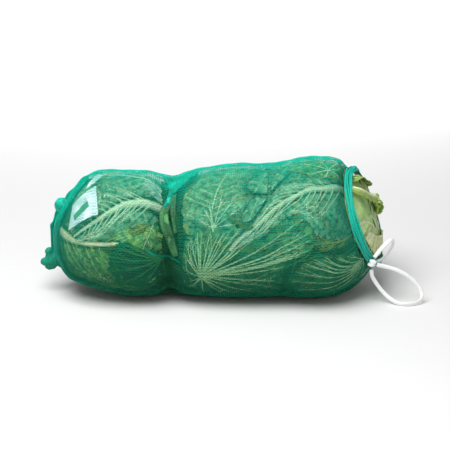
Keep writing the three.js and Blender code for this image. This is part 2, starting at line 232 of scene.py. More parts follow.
def mouth_point(radius, angle, out):
    """A point in the frame of the mouth, at an angle from its top towards the near side."""
    radius, angle, out = np.broadcast_arrays(radius, angle, out)
    around = np.cos(angle)[..., None] * MOUTH_UP + np.sin(angle)[..., None] * MOUTH_NEAR
    return MOUTH_CENTRE + radius[..., None] * around + out[..., None] * MOUTH_OUT


def end_of_line(way):
    """Where the outline ends at the mouth, above (1) or below (-1), as X and Z."""
    end = mouth_point(way * BAG_END_RADIUS, 0.0, BAG_END)
    return end[0], end[2]


UPPER = np.array(UPPER_LINE + [end_of_line(1)], float)
LOWER = np.array(LOWER_LINE + [end_of_line(-1)], float)
SECTIONS = len(UPPER) - 1
BAG_END_Y = mouth_point(0.0, 0.0, BAG_END)[1]


def section_axis(section):
    """Middle of a section of the bag, and the half of it that points up, as X and Z."""
    top = along(UPPER, section / SECTIONS)
    bottom = along(LOWER, section / SECTIONS)
    return (top + bottom) / 2, (top - bottom) / 2


def turned_at(section):
    """How far a section is turned into the frame of the mouth, from 0 to 1."""
    return np.clip((section - SECTIONS + MOUTH_SECTIONS) / MOUTH_SECTIONS, 0, 1)


def drawn_in(section, angle):
    """How far the net is drawn in between the first two heads, at the bag's two sides."""
    from_waist = section_axis(section)[0][..., 0] - WAIST_X
    return WAIST_DRAW * bump(from_waist, WAIST_DRAW_WIDTH) * np.sin(angle) ** 2


def net_point(section, angle, lift=0.0, pleated=True):
    """A point of the net: section along the bag, and angle from the top towards the near side."""
    section, angle, lift = np.broadcast_arrays(section, angle, lift)
    centre, half = section_axis(section)
    height = np.hypot(half[..., 0], half[..., 1])
    turned = turned_at(section)
    width = height * mix(SIDE_SPREAD, 1, turned)
    power = 2 / mix(ROUNDNESS, 2, turned)
    up = np.sign(np.cos(angle)) * np.abs(np.cos(angle)) ** power
    side = np.sign(np.sin(angle)) * np.abs(np.sin(angle)) ** power
    if pleated:
        near_mouth = 4 * turned * (1 - turned)
        pleat = WAIST_PLEAT * bump(centre[..., 0] - WAIST_X, WAIST_WIDTH) + MOUTH_PLEAT * near_mouth
        lift = lift + pleat * np.cos(PLEATS * angle) - drawn_in(section, angle)
    up = up * (1 + lift / height)
    side = side * (1 + lift / height)
    x = centre[..., 0] + half[..., 0] * up + turned * MOUTH_NEAR[0] * width * side
    y = -width * side * mix(1, -MOUTH_NEAR[1], turned)
    y = y + turned * (BAG_END_Y + MOUTH_UP[1] * BAG_END_RADIUS * up)
    return np.stack([x, y, np.maximum(0, centre[..., 1] + half[..., 1] * up)], -1)


# Heads: the section where each starts to draw in from the net, and the one where its pressed end closes
LEFT_HEAD = (6.4, 9.95)
MIDDLE_HEAD = (12.0, 9.3)
RIGHT_HEAD = None
END_ROUNDNESS, MOST_CLOSED = 2.8, 0.995
LEFT_MIDDLE_X = -172
LEFT_SQUEEZE = 0.97  # the first head stops short of the closed end
SWELL = 1.6  # height of the long swells of a head's surface
HEAD_FLOOR = 1.0  # heads stay this high over the floor


def head_point(head, section, angle, depth):
    """A point on a head, depth under the smooth surface of the net."""
    section, angle, depth = np.broadcast_arrays(section, angle, depth)
    middle, _ = section_axis(section)
    swell = SWELL * (1 + np.sin(section * 1.9 + 2 * np.cos(angle * 2)) * np.sin(angle * 3 + section)) / 2
    inner = net_point(section, angle, -(depth + swell), False)
    closing = 0.0 * section
    if head:
        closing = np.clip((section - head[0]) / (head[1] - head[0]), 0, MOST_CLOSED)
    size = (1 - closing**END_ROUNDNESS) ** (1 / END_ROUNDNESS)
    axis = np.stack([middle[..., 0], turned_at(section) * BAG_END_Y, middle[..., 1]], -1)
    placed = axis + (inner - axis) * size[..., None]
    if head == LEFT_HEAD:
        past = np.minimum(placed[..., 0] - LEFT_MIDDLE_X, 0)
        placed[..., 0] += past * (LEFT_SQUEEZE - 1)
    placed[..., 2] = np.maximum(placed[..., 2], HEAD_FLOOR)
    return placed


def dome_point(share, angle, lift):
    """A point of the exposed head, at a share of its radius, lifted off it."""
    share, angle, lift = np.broadcast_arrays(share, angle, lift)
    rise = (1 - np.clip(share, 0, 1) ** DOME_ROUNDNESS) ** (1 / DOME_ROUNDNESS)
    return mouth_point(share * (DOME_RADIUS + lift), angle, DOME_BASE + (DOME_HEIGHT + lift) * rise)


def roughness_at(points, size, seed):
    """Smooth noise from -1 to 1 at points, with bumps of about the given size, in millimetres."""
    offset = Vector((seed * 17.3, seed * 5.1, seed * 9.7))
    flat = points.reshape(-1, 3) / size
    values = [noise.noise(Vector(p) + offset) for p in flat]
    return np.array(values).reshape(points.shape[:-1])


# ---- Blender helpers ----
WELD_MM = 0.01
SMOOTH_BELOW, SMOOTH_JOINED, SMOOTH_CARD = 75, 60, 30  # degrees between faces below which an edge is smooth


def clear_selection():
    if bpy.context.object and bpy.context.object.mode != "OBJECT":
        bpy.ops.object.mode_set(mode="OBJECT")
    bpy.ops.object.select_all(action="DESELECT")


def choose(piece):
    clear_selection()
    piece.select_set(True)
    bpy.context.view_layer.objects.active = piece


def coordinates(piece):
    found = np.empty(len(piece.data.vertices) * 3)
    piece.data.vertices.foreach_get("co", found)
    return found.reshape(-1, 3)


def set_coordinates(piece, millimetres):
    piece.data.vertices.foreach_set("co", (np.asarray(millimetres) * MM).astype(np.float32).ravel())
    piece.data.update()


def note(piece, name, values):
    """Keeps one number for each vertex, for the material to read."""
    attribute = piece.data.attributes.new(name, "FLOAT", "POINT")
    attribute.data.foreach_set("value", np.clip(values, 0, 1).astype(np.float32))


def note_leaf(piece, vein=0.0, margin=0.0, shadow=0.0):
    """Keeps how much of a vein, a margin and a painted shadow there is, over the whole leaf or by vertex."""
    for name, values in (("vein", vein), ("margin", margin), ("shadow", shadow)):
        note(piece, name, np.broadcast_to(values, len(piece.data.vertices)))


def apply_modifier(piece, kind, **settings):
    choose(piece)
    modifier = piece.modifiers.new(kind.title(), kind)
    for key, value in settings.items():
        setattr(modifier, key, value)
    bpy.ops.object.modifier_apply(modifier=modifier.name)


def edit_all(piece, *steps):
    """Runs edit-mode operators on the whole mesh; each step is a function."""
    choose(piece)
    bpy.ops.object.mode_set(mode="EDIT")
    bpy.ops.mesh.select_all(action="SELECT")
    for step in steps:
        step()
    bpy.ops.object.mode_set(mode="OBJECT")


def weld():
    bpy.ops.mesh.remove_doubles(threshold=WELD_MM * MM)


def face_out():
    bpy.ops.mesh.normals_make_consistent(inside=False)


def grid(name, columns, rows):
    """A grid primitive, and the place of its vertices along (u) and across (v) it, from 0 to 1."""
    clear_selection()
    bpy.ops.mesh.primitive_grid_add(x_subdivisions=columns, y_subdivisions=rows, size=1)
    piece = bpy.context.object
    piece.name = piece.data.name = name
    flat = coordinates(piece) + 0.5
    return piece, np.clip(flat[:, 0], 0, 1), np.clip(flat[:, 1], 0, 1)


def smooth(piece, angle=SMOOTH_BELOW):
    choose(piece)
    bpy.ops.object.shade_smooth_by_angle(angle=radians(angle))


def laid(name, columns, rows, surface, lift=0.0):
    """A grid laid on surface(u, v, lift)."""
    piece, u, v = grid(name, columns, rows)
    set_coordinates(piece, surface(u, v, lift))
    return piece, u, v


def closed(piece):
    """A sheet that is bent round on itself, welded, with its ends filled."""
    edit_all(piece, weld, bpy.ops.mesh.fill_holes, face_out)
    smooth(piece)
    return piece


def turn_outwards(piece, surface, u, v):
    """Flips the faces of an open sheet if they look inwards, against the surface's own outside."""
    middle = slice(len(u) // 2, len(u) // 2 + 1)
    outside = surface(u[middle], v[middle], 1.0) - surface(u[middle], v[middle], 0.0)
    normal = np.array(piece.data.vertices[middle.start].normal)
    if float(normal @ outside[0]) < 0:
        edit_all(piece, bpy.ops.mesh.flip_normals)


def thicken(piece, surface, u, v, thickness, angle=SMOOTH_BELOW):
    """Gives an open sheet on surface(u, v, lift) a thickness under it, in millimetres."""
    turn_outwards(piece, surface, u, v)
    edit_all(piece, weld)
    apply_modifier(piece, "SOLIDIFY", thickness=thickness * MM, offset=-1)
    smooth(piece, angle)
    return piece


def joined(name, pieces):
    """Several pieces as one."""
    clear_selection()
    for piece in pieces:
        piece.select_set(True)
    bpy.context.view_layer.objects.active = pieces[0]
    bpy.ops.object.join()
    piece = bpy.context.object
    piece.name = piece.data.name = name
    smooth(piece, SMOOTH_JOINED)
    return piece


def lump(name, lobes, sides, voxel, factor, iterations):
    """Balls, each a centre and its half sizes, run together; with the places and normals of its vertices."""
    balls = []
    for centre, size in lobes:
        clear_selection()
        bpy.ops.mesh.primitive_uv_sphere_add(segments=sides[0], ring_count=sides[1], radius=1)
        ball = bpy.context.object
        set_coordinates(ball, np.array(centre) + coordinates(ball) * size)
        balls.append(ball)
    piece = joined(name, balls)
    apply_modifier(piece, "REMESH", mode="VOXEL", voxel_size=voxel * MM)
    apply_modifier(piece, "SMOOTH", factor=factor, iterations=iterations)
    normals = np.array([vertex.normal for vertex in piece.data.vertices])
    return piece, coordinates(piece) / MM, normals


def dress(piece, finish, node):
    """Gives a piece its material and slot, attaches it to the root body and hides the imported part that it
    stands for.
    """
    piece.data.materials.clear()
    piece.data.materials.append(finish)
    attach(piece, "root")
    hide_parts(node)
    return piece


# ---- Materials ----
def add(tree, kind, inputs=(), links=(), **settings):
    """Adds a shader node with its settings, its constant inputs and its links."""
    node = tree.nodes.new(kind)
    for key, value in settings.items():
        setattr(node, key, value)
    for key, value in dict(inputs).items():
        node.inputs[key].default_value = value
    for key, socket in dict(links).items():
        tree.links.new(socket, node.inputs[key])
    return node


def material(name, **sockets):
    """A new material and its node tree, with constant values on the shader's own sockets."""
    made = bpy.data.materials.new(name)
    made.use_nodes = True
    shader = made.node_tree.nodes["Principled BSDF"]
    for key, value in sockets.items():
        shader.inputs[key.replace("_", " ")].default_value = value
    return made, made.node_tree


def finished(made, colour, height=None, strength=0.0, distance=0.0):
    """Links a material's colour and its relief, whose distance is in millimetres."""
    tree = made.node_tree
    shader = tree.nodes["Principled BSDF"]
    tree.links.new(colour, shader.inputs["Base Color"])
    if height is not None:
        inputs = {"Strength": strength, "Distance": distance * MM}
        relief = add(tree, "ShaderNodeBump", inputs, {"Height": height})
        tree.links.new(relief.outputs[0], shader.inputs["Normal"])
    return made


def rgba(colour):
    return (*(linear(colour) if isinstance(colour, str) else colour), 1.0)


def tinted(tone, share):
    return tuple(channel * share for channel in tone)


def blend_colours(tree, factor, a, b):
    """Mixes two colours, each a hex value, a colour or a socket, by a socket."""
    node = add(tree, "ShaderNodeMix", (), {0: factor}, data_type="RGBA", blend_type="MIX")
    for key, value in ((6, a), (7, b)):
        if isinstance(value, bpy.types.NodeSocket):
            tree.links.new(value, node.inputs[key])
        else:
            node.inputs[key].default_value = rgba(value)
    return node.outputs[2]


def object_place(tree):
    return add(tree, "ShaderNodeTexCoord").outputs["Object"]


def unrolled_place(tree):
    return add(tree, "ShaderNodeUVMap", uv_map="UVMap").outputs[0]


def kept(tree, name):
    """The number that each vertex keeps under a name."""
    return add(tree, "ShaderNodeAttribute", attribute_name=name).outputs["Fac"]


def ranged(tree, value, low, high, to_low=0.0, to_high=1.0):
    """A number that goes from to_low to to_high while the value goes from low to high."""
    ends = {"From Min": low, "From Max": high, "To Min": to_low, "To Max": to_high}
    return add(tree, "ShaderNodeMapRange", ends, {"Value": value}).outputs[0]


def clouds(tree, place, size, detail=2.0, roughness=0.5):
    """Soft patches of about a size in millimetres."""
    inputs = {"Scale": 1 / (size * MM), "Detail": detail, "Roughness": roughness}
    return add(tree, "ShaderNodeTexNoise", inputs, {"Vector": place}).outputs["Fac"]


def cell_edges(tree, place, size, randomness=1.0):
    """The distance to the nearest edge between cells of a size in millimetres."""
    inputs = {"Scale": 1 / (size * MM), "Randomness": randomness}
    cells = add(tree, "ShaderNodeTexVoronoi", inputs, {"Vector": place}, feature="DISTANCE_TO_EDGE")
    return cells.outputs["Distance"]


def darker_low(tree, place, colour, heights, share, tone):
    """A colour that goes over to a darker tone, a painted shade, from one height in metres down to another.
    """
    height = add(tree, "ShaderNodeSeparateXYZ", (), {0: place}).outputs[2]
    return blend_colours(tree, ranged(tree, height, *heights, share, 0.0), colour, tone)


FINE_VEIN_MM = 4.5  # spacing of the net of fine veins in a cabbage leaf
FINE_VEIN_EDGE = (0.02, 0.11)  # where such a vein starts and stops to fade, in cells
FINE_VEIN_SHARE = 0.34
DEEP_SHADE = "#0f4323"
LOW_HEIGHTS, LOW_SHADE = (0.02, 0.15), 0.62  # painted shade: leaves under the net are darker towards the floor, where the bag lies in its own shade
MOTTLE_MM, MOTTLE_RANGE = 24.0, (0.36, 0.64)
LEAF_FINISHES = {
    # blade in the light, blade in its darker patches, veins, margin
    "blue_green": ("#8edca4", "#3c9468", "#defcd4", "#b4e0a8"),
    "yellow_edged": ("#98e0a2", "#4aa472", "#dafcc8", "#d4e430"),
    "fresh_green": ("#80dc5c", "#2e9236", "#fcffd0", "#b4e078"),
    "mid_green": ("#58c872", "#1a7c48", "#d2fcc0", "#7cc470"),
    # The torn pieces' dark margin is painted shadow in the cracks between them
    "torn": ("#92deaa", "#42a074", "#b8f0c4", "#0c4a34"),
    "deep_green": ("#0f5226", "#042c14", "#4aa056", "#2c8238"),
    "pale": ("#c8fae0", "#94deba", "#ecfff2", "#ccf4d8"),
    "yellow_green": ("#76922a", "#2e4e14", "#b0c868", "#7f842a"),
    "bare_green": ("#d4fca4", "#a2da7a", "#ecfacc", "#eafacc"),
    "bare_pale": ("#d8f4a4", "#a8da78", "#f6fcd4", "#f8fcdc"),
    "bare_cream": ("#f8ffbe", "#e2f69a", "#feffe6", "#fcfedc"),
    "bare_dark": ("#8cc444", "#4a8826", "#fafec4", "#c4da62"),
}
leaf_materials = {}


def leaf_material(finish):
    """Cabbage leaf: a thin waxy blade with a bloom, pale raised veins and a finer net of veins between."""
    if finish in leaf_materials:
        return leaf_materials[finish]
    blade, shade, vein, margin = LEAF_FINISHES[finish]
    made, tree = material(f"cabbage_leaf_{finish}", Roughness=0.48, IOR=1.42, Specular_IOR_Level=0.22)
    place = object_place(tree)
    patches = clouds(tree, place, MOTTLE_MM, 4.0, 0.6)
    colour = blend_colours(tree, ranged(tree, patches, *MOTTLE_RANGE), blade, shade)
    fine = ranged(tree, cell_edges(tree, place, FINE_VEIN_MM), *FINE_VEIN_EDGE, 1.0, 0.0)
    faint = add(tree, "ShaderNodeMath", {1: FINE_VEIN_SHARE}, {0: fine}, operation="MULTIPLY")
    colour = blend_colours(tree, faint.outputs[0], colour, vein)
    colour = blend_colours(tree, kept(tree, "margin"), colour, margin)
    # Painted shade: leaves under the net darken towards the floor; the bare crown is left out
    if not finish.startswith("bare"):
        colour = darker_low(tree, place, colour, LOW_HEIGHTS, LOW_SHADE, DEEP_SHADE)
    colour = blend_colours(tree, kept(tree, "vein"), colour, vein)
    # Painted shadow: the share kept as shadow darkens the leaf towards the deep shade
    colour = blend_colours(tree, kept(tree, "shadow"), colour, DEEP_SHADE)
    leaf_materials[finish] = finished(made, colour, fine, 0.9, 1.1)
    return made


def dress_leaf(piece, finish, node="net_bag"):
    return dress(piece, leaf_material(finish), node)


# Painted shade: the net's threads darken towards the floor, where the bag lies in its own shade: heights,
# share and tone
NET_SHADE = ((0.02, 0.17), 0.84, "#05502a")
THREAD_STREAK_MM = 9
FOLDED_MESH_MM = 4.0  # spacing of the openings that still show where the net lies in folds
FOLDED_OPENING, FOLDED_LAYER_MM = (0.16, 0.42), 14


def net_material():
    """Polyethylene netting: thin satin threads, a little lighter where they catch the light."""
    made, tree = material("polyethylene_netting", Roughness=0.5, IOR=1.5, Specular_IOR_Level=0.2)
    thread = tuple(bpy.context.scene.cabbage_net.thread)
    place = object_place(tree)
    colour = blend_colours(tree, clouds(tree, place, THREAD_STREAK_MM, 3.0), thread, tinted(thread, 0.7))
    # Painted shade: darker towards the floor
    colour = darker_low(tree, place, colour, *NET_SHADE)
    # Painted shade: threads darkened over the fold between the heads, kept as fold
    return finished(made, blend_colours(tree, kept(tree, "fold"), colour, NET_SHADE[2]))


def folded_net_material():
    """Several layers of netting bunched together: bright threads over small gaps painted dark, as shade seen
    into the folds.
    """
    made, tree = material("folded_netting", Roughness=0.55, Specular_IOR_Level=0.25)
    thread = bpy.context.scene.cabbage_net.thread
    place = object_place(tree)
    turned = add(tree, "ShaderNodeMapping", {"Rotation": (0.4, 0.7, 0.5)}, {"Vector": place}).outputs[0]
    gaps = ranged(tree, cell_edges(tree, turned, FOLDED_MESH_MM, 0.35), *FOLDED_OPENING)
    layers = ranged(tree, clouds(tree, place, FOLDED_LAYER_MM, 3.0), 0.4, 0.62)
    bright = blend_colours(tree, layers, tinted(thread, 0.9), tinted(thread, 0.55))
    # Painted shade in the gaps between the bunched threads
    colour = blend_colours(tree, gaps, bright, tinted(thread, 0.16))
    # Painted shade: darker towards the floor
    return finished(made, darker_low(tree, place, colour, *NET_SHADE), gaps, 0.7, -0.5)


# ---- Leaves ----
RIB, BROAD, FINE = 0, 1, 2
VEIN_STEP = 1.0  # distance between the points of a vein
VEIN_SOFTNESS = (1.1, 3.0)  # half widths from its middle where a vein's colour fades, and how sharply
CREASE_PLACE, CREASE_WIDTH = 1.8, 0.65  # the crease beside a vein, sunk and darkened with painted shadow, in half widths of the vein
CREASE_DEPTH = 0.7  # of that crease
HOLLOW_REACH, HOLLOW_DEPTH = 6.0, 2.8  # how far beside broad veins, and how deep, the blade sinks
FIRST_SIDE_VEIN, LAST_SIDE_VEIN = 0.04, 0.86  # where they leave the rib, as shares of its length
RIB_HEIGHT = 0.55  # share of the rib's half width
VEINS_END = 0.985  # share of the leaf's length
PUCKER_MM, FINE_PUCKER_MM = 12.0, 5.0  # widths of the crinkles between the veins
RIB_LEAF_RAGGED = 0.03  # how far a margin wavers, as a share of the leaf's half width
SIDE_VEIN_REACH = 0.93  # share of the way to the margin that side veins go
FAN_STEP = 1.8  # a fan leaf's veins run outwards, where its mesh can be this much coarser
FAN_AROUND_STEP = 1.15


class Veins:
    """Veins of a leaf as lines of points on its surface, each with a half width and a rank."""

    def __init__(self, place):
        self.place = place
        self.lines = []

    def draw(self, u, v, start, end, height, rank=BROAD):
        """A vein through the places u, v, whose half width goes from start to end."""
        length = length_of(self.place(np.asarray(u, float), np.asarray(v, float), 0.0))
        share = np.linspace(0, 1, max(4, int(length / VEIN_STEP)))
        knots = np.linspace(0, 1, len(u))
        uu, vv = np.interp(share, knots, u), np.interp(share, knots, v)
        width = mix(start, end, share**0.8)
        self.lines.append((rank, self.place(uu, vv, 0.0), width, height * width / max(start, end)))

    def relief(self, points):
        """At points: height of the veins, share of vein, crease beside one, hollow between broad ones."""
        lift, share, beside = (np.zeros(len(points)) for _ in range(3))
        away = np.full(len(points), np.inf)
        for rank in (RIB, BROAD, FINE):
            chosen = [line[1:] for line in self.lines if line[0] == rank]
            if not chosen:
                continue
            line, width, height = (np.concatenate(column) for column in zip(*chosen))
            tree = KDTree(len(line))
            for i, p in enumerate(line):
                tree.insert(p, i)
            tree.balance()
            k, distance = (np.array(column) for column in zip(*(tree.find(p)[1:] for p in points)))
            near = distance / width[k]
            lift = np.maximum(lift, height[k] * np.exp(-(near**2)))
            share = np.maximum(share, np.exp(-((near / VEIN_SOFTNESS[0]) ** VEIN_SOFTNESS[1])))
            crease = np.minimum(1, width[k] / 1.5) * bump(near - CREASE_PLACE, CREASE_WIDTH)
            beside = np.maximum(beside, crease)
            if rank != FINE:
                away = np.minimum(away, distance)
        return lift, share, beside * (1 - share), 1 - bump(away, HOLLOW_REACH)


def pinnate(veins, count, slant, rng, rib, side, rib_end, stop):
    """A midrib with side veins that leave it at a slant and curve towards the tip."""
    veins.draw(np.linspace(0, stop, 24), np.full(24, 0.5), rib, rib * rib_end, rib * RIB_HEIGHT, RIB)
    for way in (-1, 1):
        for k in range(count):
            share = (k + 0.15 + 0.5 * rng.random()) / count
            start = FIRST_SIDE_VEIN + (LAST_SIDE_VEIN - FIRST_SIDE_VEIN) * share
            end = min(start + slant * (0.7 + 0.6 * rng.random()), 1.02)
            t = np.linspace(0, SIDE_VEIN_REACH * (0.72 + 0.28 * rng.random()), 14)
            sway = 0.012 * rng.uniform(-1, 1)
            u = start + (end - start) * t**1.25 + sway * np.sin(t * rng.uniform(4, 9))
            v = 0.5 + way * 0.5 * t
            strength = 1 - 0.45 * start
            veins.draw(np.minimum(u, VEINS_END), v, side[0] * strength, side[1], 0.85 * strength)
            for place in (0.35 + 0.15 * rng.random(), 0.62 + 0.12 * rng.random()):
                u0, v0 = np.interp(place, t, u), np.interp(place, t, v)
                along_rib, across = (1.0, 0.6) if rng.choice((-1, 1)) > 0 else (0.15, 1.5)
                s = np.linspace(0, 1, 6)
                fu = np.clip(u0 + s * slant * 0.42 * along_rib, 0, VEINS_END)
                fv = np.clip(v0 + way * s * 0.14 * across, 0.01, 0.99)
                veins.draw(fu, fv, side[1] * 1.5, side[1] * 0.8, 0.45, FINE)


def finish_leaf(piece, place, u, v, veins, seed, lift, border, margin_width, calm=1.0):
    """Raises the veins and puckers of a leaf that lies on place(u, v, lift), and gives it a thickness."""
    settings = bpy.context.scene.cabbage_heads
    base = place(u, v, 0.0)
    raised, share, beside, between = veins.relief(base)
    fold = roughness_at(base, PUCKER_MM, seed)
    fine = roughness_at(base, FINE_PUCKER_MM, seed + 3)
    pucker = (1.1 * np.abs(fold) + 0.5 * fine - 0.3) * (1 - 0.75 * share) * calm
    sunk = CREASE_DEPTH * beside + HOLLOW_DEPTH * between * calm
    set_coordinates(piece, place(u, v, raised + settings.pucker / MM * pucker + lift - sunk))
    # Painted shadow in the pucker hollows, between broad veins and in the creases beside veins
    dark = (0.6 * ease(0.2, -0.5, pucker) + 0.36 * between) * calm * (1 - share)
    note_leaf(piece, share, 1 - ease(0.0, margin_width, border + 0.02 * fold), 0.8 * beside + dark)
    return thicken(piece, place, u, v, settings.thickness / MM)


def border_of(u, v):
    return np.minimum(np.minimum(v, 1 - v), 1 - u)


def span_of(place):
    """Rough length and width of a surface place(u, v, lift)."""
    t = np.linspace(0, 1, 25)
    widths = [length_of(place(np.full(25, share), t, 0.0)) for share in (0.25, 0.5, 0.75)]
    return length_of(place(t, np.full(25, 0.5), 0.0)), max(widths)


def rib_leaf(name, head, rib, near, far, depth, finish, seed, count=7, slant=0.3, rib_width=3.0, edge=1.5,
             side=(0.95, 0.3), margin_width=0.05, rib_end=0.3, stop=0.97, edged_side=None):
    """A leaf between two margins, each a line of (section, degrees), with its midrib between them."""
    rng = random.Random(seed)

    def place(u, v, lift):
        middle, first, second = along(rib, u), along(near, u), along(far, u)
        across = 2 * v - 1
        torn = 1 + RIB_LEAF_RAGGED * np.sin(u * 41 + seed) * np.sin(u * 97 + 2 * seed)
        torn = torn + 0.5 * RIB_LEAF_RAGGED * np.sin(u * 173)
        share = (np.abs(across) * torn)[..., None]
        at = np.where((across < 0)[..., None], mix(middle, first, share), mix(middle, second, share))
        return head_point(head, at[..., 0], np.radians(at[..., 1]), depth - lift)

    length, width = span_of(place)
    grain = bpy.context.scene.cabbage_heads.grain / MM
    piece, u, v = grid(name, int(length / grain), int(width / grain))
    veins = Veins(place)
    pinnate(veins, count, slant, rng, rib_width, side, rib_end, stop)
    rise = edge * bump(border_of(u, v), 0.09) * (0.7 + 0.3 * np.sin(u * 23 + seed))
    border = {None: border_of(u, v), "near": v, "far": 1 - v}[edged_side]
    finish_leaf(piece, place, u, v, veins, seed, rise, border, margin_width)
    return dress_leaf(piece, finish)


def fan_leaf(name, head, centre, boundary, rays, depth, finish, seed, edge=1.2, ragged=0.02,
             margin_width=0.05, sharp=False):
    """A leaf that spreads round its stalk to a boundary of (section, degrees); rays are shares of it."""
    rng = random.Random(seed)
    line = np.array([*boundary, boundary[0]], float)
    hub = np.array(centre, float)
    knots = np.linspace(0, 1, len(line))

    def rim_at(v):
        if not sharp:
            return along(line, v)
        return np.stack([np.interp(v, knots, line[:, k]) for k in (0, 1)], -1)

    def place(u, v, lift):
        torn = 1 + ragged * np.sin(v * 61 + seed) * np.sin(v * 133) * u
        at = mix(hub, rim_at(v), (np.maximum(u, 0.003) * torn)[..., None])
        return head_point(head, at[..., 0], np.radians(at[..., 1]), depth - lift)

    t = np.linspace(0, 1, 90)
    rim, middle = place(np.ones(90), t, 0.0), place(np.zeros(90), t, 0.0)
    reach = np.linalg.norm(rim - middle, axis=1).max()
    grain = bpy.context.scene.cabbage_heads.grain / MM
    piece, u, v = grid(name, int(reach / grain / FAN_STEP), int(length_of(rim) / grain / FAN_AROUND_STEP))
    veins = Veins(place)
    for at, width, *bends in rays:
        bend = sum(bends)
        s = np.linspace(0.0, 0.95, 20)
        veins.draw(s, at + bend * s**2, 1.35 * width, 0.55, 0.75 * width)
        for fork in [first + 0.1 * rng.random() for first in (0.32, 0.5, 0.68)]:
            way = rng.choice((-1, 1))
            q = np.linspace(0, 1, 8)
            fu = fork + (0.9 - fork) * q
            fv = at + bend * fu**2 + way * 0.035 * q**1.2
            veins.draw(fu, np.clip(fv, 0, 1), 0.8, 0.35, 0.5, FINE)
    finish_leaf(
        piece, place, u, v, veins, seed, edge * bump(1 - u, 0.07), 1 - u, margin_width, ease(0, 0.12, u),
    )
    return dress_leaf(piece, finish)


